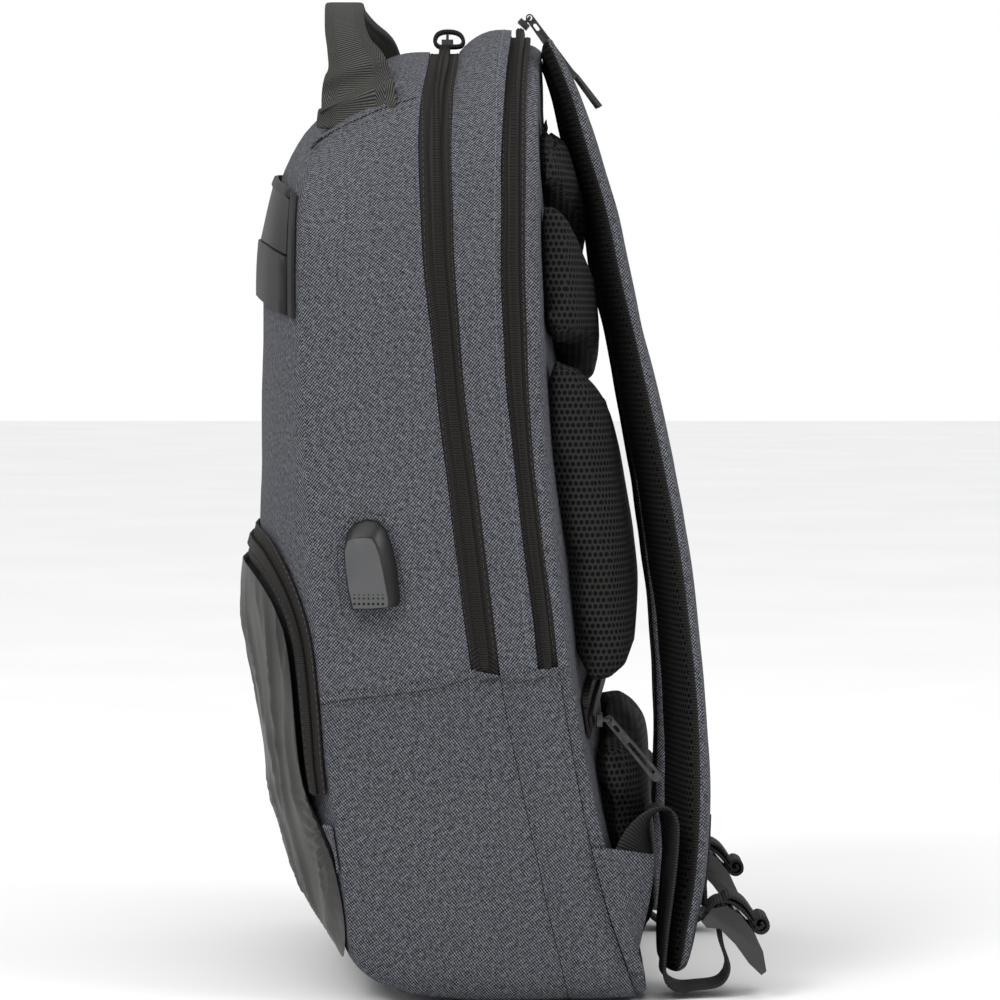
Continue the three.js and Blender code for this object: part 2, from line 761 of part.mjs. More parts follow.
function padOutline(outerTop, outerBottom, innerTop, innerBottom) {
  const inner = padColumnGap / 2;
  const topLine = (share) => bodyHeight * mix(outerTop, innerTop, share);
  const bottomLine = (share) => bodyHeight * mix(outerBottom, innerBottom, share);
  const reach = (z) => sectionReach(3, z) - padEdgeMargin;
  const points = [];
  for (const share of [0.05, 0.35, 0.65, 0.95]) {
    const z = mix(bottomLine(0), topLine(0), share);
    points.push([reach(z), z]);
  }
  for (const share of [0.06, 0.35, 0.65, 0.94]) {
    points.push([mix(reach(topLine(0)), inner, share), topLine(share)]);
  }
  for (const share of [0.95, 0.5, 0.05]) points.push([inner, mix(bottomLine(1), topLine(1), share)]);
  for (const share of [0.94, 0.65, 0.35, 0.06]) {
    points.push([mix(reach(bottomLine(0)), inner, share), bottomLine(share)]);
  }
  return points;
}

// A crowned pad on the back panel. Its depth can follow the height, and seats are the rings of its underside.
function crownedPad(outline, depthAt, seats = [0.2, 0.6, 1]) {
  const middle = outline.reduce(([a, b], [x, z]) => [a + x / outline.length, b + z / outline.length], [0, 0]);
  const level = (share, rise) => outline.map(([x, z]) => {
    const px = mix(middle[0], x, share);
    const pz = mix(middle[1], z, share);
    return new THREE.Vector3(px, backSurface(px, pz) + 2.5 * seatGap + rise * depthAt(pz), pz);
  });
  const crown = [level(1, 0.3), level(0.94, 0.66), level(0.84, 0.9), level(0.6, 1), level(0.25, 1)];
  return loft([...seats.map((share) => level(share, 0)), ...crown]);
}

const mirrored = (geometry) => {
  const copy = geometry.clone().scale(-1, 1, 1);
  copy.setIndex([...copy.index.array].reverse());
  return copy;
};

const mainPads = padTable.rows.map(([outerTop, outerBottom, innerTop, innerBottom]) => crownedPad(
  padOutline(outerTop, outerBottom, innerTop, innerBottom),
  (z) => padDepth * lookUp(padSwell.columns, padSwell.rows, 'line', z / bodyHeight),
));

// Lumbar pad and the zip of the back pocket above it
const backZipSide = zipEndHeight - 30;
const backZipMiddle = zipEndHeight - 7;
const backZipWidth = 14;
const backZipSpan = 129;
const backCoilHeight = 1.8;
const flapWidth = 3.4;
const flapHeight = 3;
const backZipLine = (x) => mix(backZipMiddle, backZipSide, (x / (bodyWidth / 2)) ** 2);
const lumbarSwell = {
  columns: ['height', 'line'],
  rows: [
    [0.03, 0.25],
    [0.14, 0.78],
    [0.22, 0.90],
    [0.29, 1.00],
  ],
};

function lumbarPad() {
  const outline = [];
  const foot = 20;
  const sideTop = backZipSide - 15;
  const levels = [0.067, 0.333, 0.667, 0.978].map((share) => mix(foot, sideTop, share));
  const tuck = (z) => mix(14, 4, THREE.MathUtils.smoothstep(z, sideTop - 50, sideTop));
  const reach = (z) => sectionReach(3, z) - padEdgeMargin - tuck(z);
  for (const z of levels) outline.push([reach(z), z]);
  const side = reach(sideTop);
  for (const share of [0.93, 0.6, 0.3, 0, -0.3, -0.6, -0.93]) {
    outline.push([side * share, backZipLine(side * share) - backZipWidth / 2 - 1.2]);
  }
  for (const z of [...levels].reverse()) outline.push([-reach(z), z]);
  for (const share of [-0.93, -0.5, 0, 0.5, 0.93]) outline.push([side * share, foot]);
  const depth = (z) => lumbarDepth * lookUp(lumbarSwell.columns, lumbarSwell.rows, 'line', z / bodyHeight);
  return crownedPad(outline, depth, [0.15, 0.35, 0.55, 0.75, 0.9, 1]);
}

// A strip on the back panel along the pocket zip
function backStrip(halfSpan, up, height, lift, thickness, steps) {
  const sections = [];
  for (let i = 0; i <= steps; i += 1) {
    const x = mix(halfSpan, -halfSpan, i / steps);
    const z = backZipLine(x) + up;
    const point = (dz, depth) => new THREE.Vector3(x, backSurface(x, z + dz) + 2 * seatGap + depth, z + dz);
    const half = height / 2;
    const high = lift + thickness;
    sections.push([point(-half, lift), point(half, lift), point(half, high), point(-half, high)]);
  }
  return loft(sections);
}

// Shoulder straps
const strapRoute = {
  // Shares of bodyHeight, bodyDepth, the way from top to bottom spacing, and strapWidth. Turn is in degrees.
  columns: ['up', 'back', 'spread', 'turn', 'width', 'thickness'],
  rows: [
    [0.966, 0.17, 0.00, 3, 0.90, 0.45],
    [0.944, 0.205, 0.02, 4, 0.94, 0.55],
    [0.905, 0.255, 0.06, 5, 1.00, 0.75],
    [0.855, 0.305, 0.10, 6, 1.00, 0.90],
    [0.795, 0.365, 0.16, 7, 1.00, 0.95],
    [0.730, 0.410, 0.23, 8, 1.00, 1.00],
    [0.665, 0.462, 0.31, 8, 1.00, 1.00],
    [0.585, 0.522, 0.42, 9, 1.00, 1.00],
    [0.510, 0.572, 0.53, 10, 1.00, 1.00],
    [0.435, 0.614, 0.64, 11, 1.00, 1.00],
    [0.360, 0.642, 0.74, 12, 0.98, 1.00],
    [0.285, 0.664, 0.83, 13, 0.94, 1.00],
    [0.205, 0.672, 0.91, 14, 0.88, 1.00],
    [0.130, 0.660, 0.96, 15, 0.80, 1.00],
    [0.070, 0.634, 0.99, 15, 0.70, 0.95],
    [0.035, 0.616, 1.00, 15, 0.52, 0.75],
  ],
};

function strapAt([up, back, spread]) {
  return [mix(strapSpacing, strapSpread, spread) / 2, back * bodyDepth, up * bodyHeight];
}

function shoulderStrap() {
  const stations = strapRoute.rows.map((row) => {
    const turn = THREE.MathUtils.degToRad(row[3]);
    return {
      at: strapAt(row),
      across: [Math.cos(turn), Math.sin(turn), 0],
      width: strapWidth * row[4],
      thickness: strapThickness * row[5],
    };
  });
  return seatOnBack(ribbon(stations, 10));
}

// Fabric ear at each lower rear corner
const wingTable = {
  // Seam lies on the side of the bag and rear at the webbing. Heights are shares of bodyHeight.
  columns: ['seamHeight', 'rearHeight', 'rearDepth', 'rearReach'],
  rows: [
    [0.160, 0.150, 0.535, 0.870],
    [0.135, 0.125, 0.530, 0.872],
    [0.100, 0.085, 0.508, 0.880],
    [0.060, 0.050, 0.480, 0.890],
    [0.036, 0.026, 0.468, 0.905],
  ],
};
const wingThickness = 2.2;

function cornerWing() {
  const sections = wingTable.rows.map(([seam, rear, depth, reach]) => {
    const z = seam * bodyHeight;
    const outer = sectionReach(2.6, z) + 2 * seatGap;
    const a = [outer, laptopZipRear(z) + 0.5, z];
    const b = [outer + 0.6, backEdgeAt(z) + 2, z];
    const c = [reach * bodyWidth / 2, depth * bodyDepth, rear * bodyHeight];
    const lift = (point, x, y) => [point[0] + x, point[1] + y, point[2]];
    const far = [lift(c, wingThickness, 0.6), lift(b, wingThickness, 0), lift(a, wingThickness, 0)];
    return [a, b, c, ...far].map((p) => new THREE.Vector3(...p));
  });
  return seatOnBack(cutFrom(loft(sections), backFilled, [seatGap, 0, 0]));
}

// Webbing from each ear up and over a loop, down between bag and strap, and back up to the buckle.
// Across is a share of half the bodyWidth, back of bodyDepth, and up of bodyHeight.
const webbingRoute = {
  columns: ['across', 'back', 'up', 'turn'],
  rows: [
    [0.900, 0.462, 0.118, -50],
    [0.893, 0.472, 0.145, -48],
    [0.870, 0.500, 0.170, -30],
    [0.842, 0.540, 0.189, -5],
    [0.825, 0.578, 0.193, 12],
    [0.822, 0.600, 0.182, 16],
    [0.820, 0.604, 0.155, 13],
    [0.814, 0.598, 0.115, 8],
    [0.800, 0.583, 0.065, 4],
    [0.770, 0.585, 0.026, 0],
    [0.740, 0.634, 0.011, 0],
    [0.725, 0.704, 0.010, 0],
    [0.715, 0.784, 0.014, 0],
    [0.710, 0.814, 0.030, 0],
    [0.708, 0.789, 0.055, 0],
    [0.706, 0.782, 0.082, 0],
    [0.706, 0.809, 0.101, 0],
    [0.706, 0.864, 0.096, 0],
    [0.706, 0.907, 0.080, 0],
  ],
};

function webbingStrip(clearance = 0) {
  const stations = webbingRoute.rows.map(([across, back, up, turn]) => {
    const angle = THREE.MathUtils.degToRad(turn);
    return {
      at: [across * bodyWidth / 2, back * bodyDepth, up * bodyHeight],
      across: [Math.cos(angle), Math.sin(angle), 0],
      width: webbingWidth + 2 * clearance,
      thickness: webbingThickness + 2 * clearance,
    };
  });
  return ribbon(stations);
}

// Rolled end of the webbing behind the buckle
const rollRadius = 4;
const rollAt = [0.706 * bodyWidth / 2, 0.907 * bodyDepth + rollRadius - 0.6, 0.080 * bodyHeight];

function rolledEnd() {
  const roll = new THREE.CylinderGeometry(rollRadius, rollRadius, webbingWidth, 14).rotateZ(Math.PI / 2);
  return roll.translate(...rollAt);
}

// Ladder lock buckle, drawn from the side and cut by its slots and its webbing
const buckleWidth = 33;
const buckleRail = 3.5;
const buckleSide = [
  // Back is a share of bodyDepth and up of bodyHeight.
  [0.716, 0.078],
  [0.751, 0.091],
  [0.801, 0.094],
  [0.851, 0.086],
  [0.896, 0.070],
  [0.934, 0.048],
  [0.946, 0.028],
  [0.928, 0.024],
  [0.884, 0.036],
  [0.836, 0.055],
  [0.781, 0.071],
  [0.734, 0.072],
];
const buckleSlots = [
  { back: 0.784, up: 0.082, length: 6.5, tilt: 35 },
  { back: 0.880, up: 0.058, length: 7.5, tilt: 52 },
];

function ladderLock() {
  const middle = webbingRoute.rows[16][0] * bodyWidth / 2;
  const corners = buckleSide.map(([back, up]) => new THREE.Vector2(back * bodyDepth, up * bodyHeight));
  const outline = new THREE.Shape(corners);
  const plate = new THREE.ExtrudeGeometry(outline, { depth: buckleWidth, bevelEnabled: false });
  plate.rotateY(Math.PI / 2).rotateX(Math.PI / 2).translate(middle - buckleWidth / 2, 0, 0);
  let lock = plate;
  for (const { back, up, length, tilt } of buckleSlots) {
    const slot = new THREE.BoxGeometry(buckleWidth - 2 * buckleRail, length, 30);
    slot.rotateX(-THREE.MathUtils.degToRad(tilt)).translate(middle, back * bodyDepth, up * bodyHeight);
    lock = cutFrom(lock, slot);
  }
  return cutFrom(lock, webbingStrip(seatGap + 0.1));
}

// Strip sewn to the outer face of the strap, which holds the buckle
const stripHeights = [0.182, 0.155, 0.130, 0.112];

function buckleStrip() {
  const rising = strapRoute.rows.slice().reverse();
  const stations = stripHeights.map((up) => {
    const value = (column) => lookUp(strapRoute.columns, rising, column, up);
    const turn = THREE.MathUtils.degToRad(value('turn'));
    const lift = strapThickness * value('thickness') / 2 + webbingThickness / 2 + 2 * seatGap;
    const [x, y, z] = strapAt([up, value('back'), value('spread')]);
    return {
      at: [x - lift * Math.sin(turn), y + lift * Math.cos(turn), z],
      across: [Math.cos(turn), Math.sin(turn), 0],
      width: webbingWidth,
      thickness: webbingThickness,
    };
  });
  const [frontBack, frontUp] = buckleSide[0];
  const [x, y, z] = stations[stations.length - 1].at;
  stations.push({
    ...stations[stations.length - 1],
    at: [x, mix(y, frontBack * bodyDepth, 0.5), mix(z, frontUp * bodyHeight + 3, 0.8)],
  });
  return cutFrom(ribbon(stations), ladderLock().translate(0, 0, seatGap));
}

// Zip sliders with a bridge along the zip, and the pulls that turn on it
const slider = { length: 11, width: 5.6, height: 2.6, bridge: 1.2, bridgeRise: 3, post: 1.4 };
const pull = { length: 37, eyeWidth: 3.2, endWidth: 5, thickness: 1.6, eyeRadius: 1.3 };

function sliderBody() {
  const base = new THREE.BoxGeometry(slider.length, slider.width, slider.height);
  base.translate(0, 0, slider.height / 2);
  const rise = slider.height + slider.bridgeRise;
  const post = (x) => new THREE.BoxGeometry(slider.post, slider.bridge, slider.bridgeRise + 1)
    .translate(x, 0, rise - slider.bridgeRise / 2);
  const reach = slider.length / 2 - slider.post;
  const bar = new THREE.CylinderGeometry(slider.bridge / 2, slider.bridge / 2, 2 * reach, 8);
  bar.rotateZ(Math.PI / 2).translate(0, 0, rise);
  return fuse(base, post(reach), post(-reach), bar);
}

// A pull hangs along minus Z from its eye, and its plate faces along X.
function pullPlate() {
  const near = pull.eyeWidth / 2;
  const far = pull.endWidth / 2;
  const chamfer = 1.4;
  const shape = new THREE.Shape();
  shape.absarc(0, 0, near + 0.3, 0, Math.PI, false);
  shape.lineTo(-far, -pull.length + chamfer);
  shape.lineTo(-far + chamfer, -pull.length);
  shape.lineTo(far - chamfer, -pull.length);
  shape.lineTo(far, -pull.length + chamfer);
  const hole = (y, radius, length) => {
    const path = new THREE.Path();
    path.absarc(0, y, radius, 0, Math.PI, false);
    path.absarc(0, y - length, radius, Math.PI, 2 * Math.PI, false);
    shape.holes.push(path);
  };
  hole(0, pull.eyeRadius, 0.1);
  hole(-4.6, 0.9, 2.2);
  hole(-15, 0.9, 17);
  const options = { depth: pull.thickness, bevelEnabled: false, curveSegments: 5 };
  const plate = new THREE.ExtrudeGeometry(shape, options);
  return plate.translate(0, 0, -pull.thickness / 2).rotateY(Math.PI / 2).rotateX(Math.PI / 2);
}

const bridgeHeight = slider.height + slider.bridgeRise;

// Slider and pull at a place on a zip. Lean turns both to the face of the zip, and swing turns the pull back.
function zipHardware(place, lean, swing) {
  const tilt = THREE.MathUtils.degToRad(lean);
  const body = sliderBody().rotateX(-tilt).translate(...place);
  const plate = pullPlate().rotateX(THREE.MathUtils.degToRad(swing)).translate(...place);
  plate.translate(0, bridgeHeight * Math.sin(tilt), bridgeHeight * Math.cos(tilt));
  return { body, plate };
}

const topSliderAcross = 8;
const topSliderPlace = [
  topSliderAcross,
  (laptopZipFront(bodyHeight) + laptopZipRear(bodyHeight)) / 2,
  station(2.5).top * bodyHeight + coilHeight - tapeRecess + 6 * seatGap,
];
const laptopHardware = zipHardware(topSliderPlace, 42, 36);
const backSliderAcross = 122;
const backSliderPlace = [
  backSliderAcross,
  backSurface(backSliderAcross, backZipLine(backSliderAcross)) + tapeThickness + backCoilHeight + 6 * seatGap,
  backZipLine(backSliderAcross),
];
const backHardware = zipHardware(backSliderPlace, 90, 40);

// Slider of the main zip at the top, with a fabric loop for a pull
const mainSliderAcross = 22;
const mainSliderPlace = [
  mainSliderAcross,
  (mainZipFront(bodyHeight) + mainZipRear(bodyHeight)) / 2,
  sectionTopAt(1, mainSliderAcross) + coilHeight - tapeRecess + 2 * seatGap,
];

// The legs of the loop come down on both sides of the slider.
const loop = { width: 9, thickness: 1.5, spread: 6.5, rise: 6, foot: 1 };

function pullLoop() {
  const leg = (slider.width + loop.thickness) / 2 + 1.6 * seatGap;
  const start = -Math.acos(leg / loop.spread);
  const stations = [];
  for (let i = 0; i <= 8; i += 1) {
    const angle = mix(start, Math.PI - start, i / 8);
    const y = -loop.spread * Math.cos(angle);
    const z = loop.foot + loop.rise * (Math.sin(angle) - Math.sin(start));
    stations.push({
      at: [mainSliderPlace[0], mainSliderPlace[1] + y, mainSliderPlace[2] + z],
      across: [1, 0, 0],
      width: loop.width,
      thickness: loop.thickness,
    });
  }
  return ribbon(stations);
}

// Webbing tab at the top of the back
const tabAcross = -18;
const tabRows = [[0.12, 0.955], [0.160, 0.968], [0.215, 0.966], [0.290, 0.944], [0.375, 0.912]];

function topTab() {
  const stations = tabRows.map(([back, up], i) => ({
    at: [tabAcross, back * bodyDepth, up * bodyHeight],
    across: [1, 0, -0.06 * i],
    width: 22,
    thickness: webbingThickness,
  }));
  return seatOnBack(ribbon(stations));
}

// Slider of the pocket zip, at its end on the left side
function pocketSlider() {
  const rows = pocketEdges(pocketTapeEnd, pocketHeight + 5);
  const [a, b] = rows[1];
  const middle = a.clone().lerp(b, 0.48);
  const body = new THREE.BoxGeometry(3, 7, 10);
  const tab = new THREE.BoxGeometry(1.6, 4.5, 26).translate(2, 0, -11);
  const whole = fuse(body, tab).rotateZ(-0.72).translate(middle.x + 3.4, middle.y - 2.6, middle.z + 4);
  return mirrored(whole);
}

// Materials
function finish(color, roughness, metalness = 0) {
  return new THREE.MeshStandardMaterial({ color, roughness, metalness });
}
const twill = finish(0x555a66, 0.9);
const coated = finish(0x46463f, 0.55);
const tapeFinish = finish(0x2d2c2a, 0.85);
const meshFinish = finish(0x1e1e1c, 0.95);
const bindingFinish = finish(0x282622, 0.9);
const hardPlastic = finish(0x2e2f31, 0.35);
const gloss = finish(0x15171c, 0.25);
const webbingFinish = finish(0x262523, 0.9);
const gunmetal = finish(0x6d6f72, 0.35, 0.9);

const bag = new THREE.Group();
function add(name, geometry, material) {
  const mesh = new THREE.Mesh(geometry, material);
  mesh.name = name;
  bag.add(mesh);
}

function addPair(name, geometry, material) {
  add(`${name}_right`, geometry, material);
  add(`${name}_left`, mirrored(geometry), material);
}

add('front_shell', frontShell, twill);
add('gusset_ring', gussetRing, twill);
add('back_shell', backShell, twill);
add('main_zip_tape', mainZip.tape, tapeFinish);
add('main_zip_coil', mainZip.coil, bindingFinish);
add('laptop_zip_tape', laptopZip.tape, tapeFinish);
add('laptop_zip_coil', laptopZip.coil, bindingFinish);
add('pocket_panel', loft(pocketPanelRings()), coated);
add('pocket_zip_tape', pocketZip(0, 0.94, 0, tapeThickness), tapeFinish);
const pocketCoilLift = coilHeight - 2 * seatGap;
add('pocket_zip_coil', pocketZip(0.34, 0.62, pocketCoilLift, pocketCoilLift - 2 * seatGap), bindingFinish);
addPair('pocket_patch', pocketPatch, twill);
const middleReach = 0.918;
const bandMiddle = bandTop - bandHeight / 2;
const bandPatch = (high, low, thickness) => frontPatch(-middleReach, middleReach, 14, high, low, thickness);
add('band_upper_panel', bandPatch(bandTop, bandMiddle + seatGap, 1.2), gloss);
add('band_lower_strip', bandPatch(bandMiddle, bandTop - bandHeight, bandProud), gloss);
add('band_top_rim', bandPatch(bandTop + rimWidth, bandTop + seatGap, bandProud), gloss);
addPair('band_rim', bandRim(0.938, 0.972, bandProud - 0.4), gloss);
add('port_housing', portHousing(), hardPlastic);
add('handle', handleArch(), webbingFinish);
['upper', 'middle', 'lower'].forEach((name, i) => addPair(`${name}_pad`, mainPads[i], meshFinish));
add('lumbar_pad', lumbarPad(), meshFinish);
add('back_zip_tape', backStrip(backZipSpan, 0, backZipWidth, 0, tapeThickness, 12), tapeFinish);
const backCoil = backStrip(backZipSpan - 1, 0, coilWidth, tapeThickness + seatGap, backCoilHeight, 12);
add('back_zip_coil', backCoil, bindingFinish);
const backFlap = backStrip(backZipSpan, backZipWidth / 2 + 2.2, flapWidth, 0, flapHeight, 12);
add('back_pocket_flap', backFlap, bindingFinish);
addPair('shoulder_strap', shoulderStrap(), twill);
addPair('corner_wing', cornerWing(), twill);
addPair('strap_webbing', seatOnBack(fuse(webbingStrip(), rolledEnd())), webbingFinish);
addPair('ladder_lock', ladderLock(), hardPlastic);
addPair('buckle_strip', buckleStrip(), webbingFinish);
add('laptop_slider', laptopHardware.body, gunmetal);
add('laptop_pull', laptopHardware.plate, gunmetal);
add('back_slider', backHardware.body, gunmetal);
add('back_pull', backHardware.plate, gunmetal);
add('main_slider', sliderBody().translate(...mainSliderPlace), gunmetal);
add('main_pull_loop', pullLoop(), webbingFinish);
add('top_tab', topTab(), webbingFinish);
add('pocket_slider', pocketSlider(), gunmetal);

// The bag stands at the middle of its box, on its base.
const box = new THREE.Box3().setFromObject(bag);
const centre = box.getCenter(new THREE.Vector3());
bag.position.set(-centre.x, -centre.y, -box.min.z);

const backpack = new THREE.Group();
backpack.add(bag);
export default backpack;
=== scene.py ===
import math

import bpy
import numpy as np
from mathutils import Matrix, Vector, noise
from mathutils.bvhtree import BVHTree


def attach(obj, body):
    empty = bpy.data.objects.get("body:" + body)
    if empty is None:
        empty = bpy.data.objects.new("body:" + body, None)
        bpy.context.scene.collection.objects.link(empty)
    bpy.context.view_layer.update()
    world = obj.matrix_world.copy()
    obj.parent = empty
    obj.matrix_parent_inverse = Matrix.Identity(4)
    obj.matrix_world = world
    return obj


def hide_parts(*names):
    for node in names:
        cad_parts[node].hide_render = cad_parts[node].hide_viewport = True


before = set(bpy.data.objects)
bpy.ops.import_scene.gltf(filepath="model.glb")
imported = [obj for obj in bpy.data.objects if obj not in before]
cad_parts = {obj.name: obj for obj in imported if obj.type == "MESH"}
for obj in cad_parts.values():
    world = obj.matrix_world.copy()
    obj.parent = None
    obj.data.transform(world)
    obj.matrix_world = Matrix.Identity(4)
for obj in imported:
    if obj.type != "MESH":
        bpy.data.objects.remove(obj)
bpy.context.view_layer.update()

noise.seed_set(5)  # noise_vector starts from the clock without it

# Camera, in metres and degrees
photo = {"target": (-0.003, 0.0, 0.2286), "distance": 2.0, "azimuth": 90, "elevation": 2.4, "lens": 145.6}


def placeCamera():
    cameraData = bpy.data.cameras.new("photoCamera")
    cameraData.lens = photo["lens"]
    cameraData.sensor_width = 36
    cameraData.clip_end = 50
    camera = bpy.data.objects.new("photoCamera", cameraData)
    bpy.context.collection.objects.link(camera)
    azimuth = math.radians(photo["azimuth"])
    elevation = math.radians(photo["elevation"])
    away = Vector((
        math.sin(azimuth) * math.cos(elevation),
        -math.cos(azimuth) * math.cos(elevation),
        math.sin(elevation),
    ))
    target = Vector(photo["target"])
    camera.location = target + away * photo["distance"]
    camera.rotation_euler = (-away).to_track_quat("-Z", "Y").to_euler()
    bpy.context.scene.camera = camera


placeCamera()
print("camera placed")

middleX = -0.00294  # the bag's mid-plane
drawnShift = -0.00027  # of the lines below along Y

# Lines on the side of the bag: height, then depth of the line or of its front and rear edge, in metres
sideLines = {
    "frontSeam": [(0, -0.0680), (0.045, -0.0708), (0.0766, -0.0744), (0.0974, -0.0777), (0.1494, -0.0825),
                  (0.2079, -0.0870), (0.2984, -0.0915), (0.3457, -0.0924), (0.3819, -0.0920), (0.399, -0.0871),
                  (0.4199, -0.0840)],
    "mainZipFront": [(0.1587, -0.0135), (0.2079, -0.0205), (0.2529, -0.0253), (0.2984, -0.0304),
                     (0.3457, -0.0354), (0.413, -0.0374), (0.4524, -0.0337), (0.4663, -0.0323)],
    "mainZipRear": [(0.1587, -0.0007), (0.2079, -0.0066), (0.2529, -0.0119), (0.2984, -0.0176),
                    (0.3457, -0.0205), (0.413, -0.0220), (0.4524, -0.0191), (0.4663, -0.0178)],
    "laptopZipFront": [(0.1587, 0.0172), (0.1708, 0.0148), (0.2079, 0.0115), (0.2529, 0.0062), (0.2984, 0.0018),
                       (0.3457, 0.0003), (0.413, 0.0016), (0.4524, 0.0055), (0.4663, 0.0066)],
    "laptopZipRear": [(0.1587, 0.0268), (0.1708, 0.0248), (0.2079, 0.0210), (0.2529, 0.0152), (0.2984, 0.0127),
                      (0.3457, 0.0112), (0.413, 0.0117), (0.4524, 0.0145), (0.4663, 0.0158)],
    "backEdge": [(0.02, 0.0630), (0.058, 0.0508), (0.087, 0.0437), (0.116, 0.0389), (0.1587, 0.0330),
                 (0.2079, 0.0270), (0.2529, 0.0212), (0.2984, 0.0187), (0.3457, 0.0172), (0.413, 0.0177),
                 (0.4524, 0.0205), (0.4663, 0.0218)],
}


def lineAt(name, height):
    rows = np.array(sideLines[name])
    return np.interp(height, rows[:, 0], rows[:, 1]) + drawnShift


# ---- helpers for meshes
def selectOnly(obj):
    bpy.ops.object.select_all(action="DESELECT")
    obj.select_set(True)
    bpy.context.view_layer.objects.active = obj


def applyModifier(obj, kind, **values):
    modifier = obj.modifiers.new("step", kind)
    for key, value in values.items():
        setattr(modifier, key, value)
    if "levels" in values:
        modifier.render_levels = values["levels"]
    selectOnly(obj)
    bpy.ops.object.modifier_apply(modifier=modifier.name)


def mergeCopy(obj):
    selectOnly(obj)
    bpy.ops.object.mode_set(mode="EDIT")
    bpy.ops.mesh.select_all(action="SELECT")
    bpy.ops.mesh.remove_doubles(threshold=0.00003)
    bpy.ops.mesh.tris_convert_to_quads(face_threshold=math.radians(60), shape_threshold=math.radians(70))
    bpy.ops.mesh.select_all(action="DESELECT")
    bpy.ops.object.mode_set(mode="OBJECT")
    if obj.data.has_custom_normals:
        bpy.ops.mesh.customdata_custom_splitnormals_clear()


def copyNode(nodeName, pieceName):
    obj = bpy.data.objects.new(pieceName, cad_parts[nodeName].data.copy())
    bpy.context.collection.objects.link(obj)
    obj.data.materials.clear()
    mergeCopy(obj)
    return obj


def creaseEdges(obj, angle, amount):
    selectOnly(obj)
    bpy.ops.object.mode_set(mode="EDIT")
    bpy.ops.mesh.select_mode(type="EDGE")
    bpy.ops.mesh.select_all(action="DESELECT")
    bpy.ops.mesh.edges_select_sharp(sharpness=math.radians(angle))
    bpy.ops.transform.edge_crease(value=amount)
    bpy.ops.mesh.select_all(action="DESELECT")
    bpy.ops.object.mode_set(mode="OBJECT")


def shadeSmooth(obj, angle=None):
    selectOnly(obj)
    if angle is None:
        bpy.ops.object.shade_smooth()
    else:
        bpy.ops.object.shade_smooth_by_angle(angle=math.radians(angle))


def pointsOf(obj):
    points = np.empty(len(obj.data.vertices) * 3)
    obj.data.vertices.foreach_get("co", points)
    return points.reshape(-1, 3)


def normalsOf(obj):
    normals = np.empty(len(obj.data.vertices) * 3)
    obj.data.vertex_normals.foreach_get("vector", normals)
    return normals.reshape(-1, 3)


def movePoints(obj, points):
    obj.data.vertices.foreach_set("co", points.ravel())
    obj.data.update()


def seedOffset(seed):
    return Vector((seed * 3.1, seed * 1.7, seed * 5.3))


def crumple(obj, layers):
    points = pointsOf(obj)
    normals = normalsOf(obj)
    lift = np.zeros(len(points))
    for size, height, seed in layers:
        offset = seedOffset(seed)
        lift += height * np.array([noise.noise(Vector(p) / size + offset) for p in points])
    movePoints(obj, points + normals * lift[:, None])


def rise(values, start, length):
    # from 0 at start to 1 after length
    return np.clip((values - start) / length, 0, 1)


bodySoftness = {
    # size, height and seed of each layer
    "folds": [(0.085, 0.0015, 1), (0.034, 0.0006, 2)],
    "seamDip": 0.0022,
    "seamReach": 0.0062,
    "frontEase": 0.0036,
    # start and length of each ramp
    "sideRamp": (0.10, 0.03),
    "creaseRamp": (-0.158, 0.006),
    "frontRamp": (0.095, 0.022),
    "frontFoot": (0.205, 0.04),
}
creaseLines = {
    "mainCrease": [(0, 0.0330), (0.0186, 0.0285), (0.045, 0.0220), (0.0766, 0.0154), (0.1225, 0.0055),
                   (0.1531, -0.0003)],
    "laptopCrease": [(0, 0.0649), (0.0186, 0.0585), (0.045, 0.0490), (0.0766, 0.0400), (0.1225, 0.0319),
                     (0.1531, 0.0276)],
}
sideLines.update(creaseLines)


def sway(obj):
    # every piece on the body moves by the same field, so that neighbours keep together
    points = pointsOf(obj)
    x, y, z = points.T
    moved = points.copy()
    for size, height, seed in bodySoftness["folds"]:
        offset = seedOffset(seed)
        moved += height * np.array([noise.noise_vector(Vector(p) / size + offset) for p in points])
    side = rise(np.abs(x - middleX), *bodySoftness["sideRamp"]) * np.sign(x - middleX)
    for name in creaseLines:
        away = (y - lineAt(name, z)) / bodySoftness["seamReach"]
        below = rise(-z, *bodySoftness["creaseRamp"])
        moved[:, 0] -= side * below * bodySoftness["seamDip"] * np.exp(-away * away)
    ease = rise(-y, *bodySoftness["frontRamp"]) * rise(z, *bodySoftness["frontFoot"])
    moved[:, 1] += bodySoftness["frontEase"] * ease
    movePoints(obj, moved)


def finishPiece(obj, material, nodes=(), body="bag"):
    if material:
        obj.data.materials.clear()
        obj.data.materials.append(material)
    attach(obj, body)
    if nodes:
        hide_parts(*nodes)
    return obj


def mirrorPiece(obj, pieceName):
    twin = bpy.data.objects.new(pieceName, obj.data.copy())
    bpy.context.collection.objects.link(twin)
    points = pointsOf(twin)
    points[:, 0] = 2 * middleX - points[:, 0]
    twin.data.flip_normals()
    movePoints(twin, points)
    return twin


def finishTwin(obj, pieceName, slot, *nodes):
    return finishPiece(mirrorPiece(obj, pieceName), None, nodes)


# ---- helpers for maps
shoulder = {"foot": 0.3434, "halfWidth": 0.139, "rise": 0.107, "radius": 0.127}


def aroundAt(x, z):
    across = np.abs(x - middleX) / shoulder["halfWidth"]
    up = np.maximum(z - shoulder["foot"], 0) / shoulder["rise"]
    return np.where(z < shoulder["foot"], z, shoulder["foot"] + np.arctan2(up, across) * shoulder["radius"])


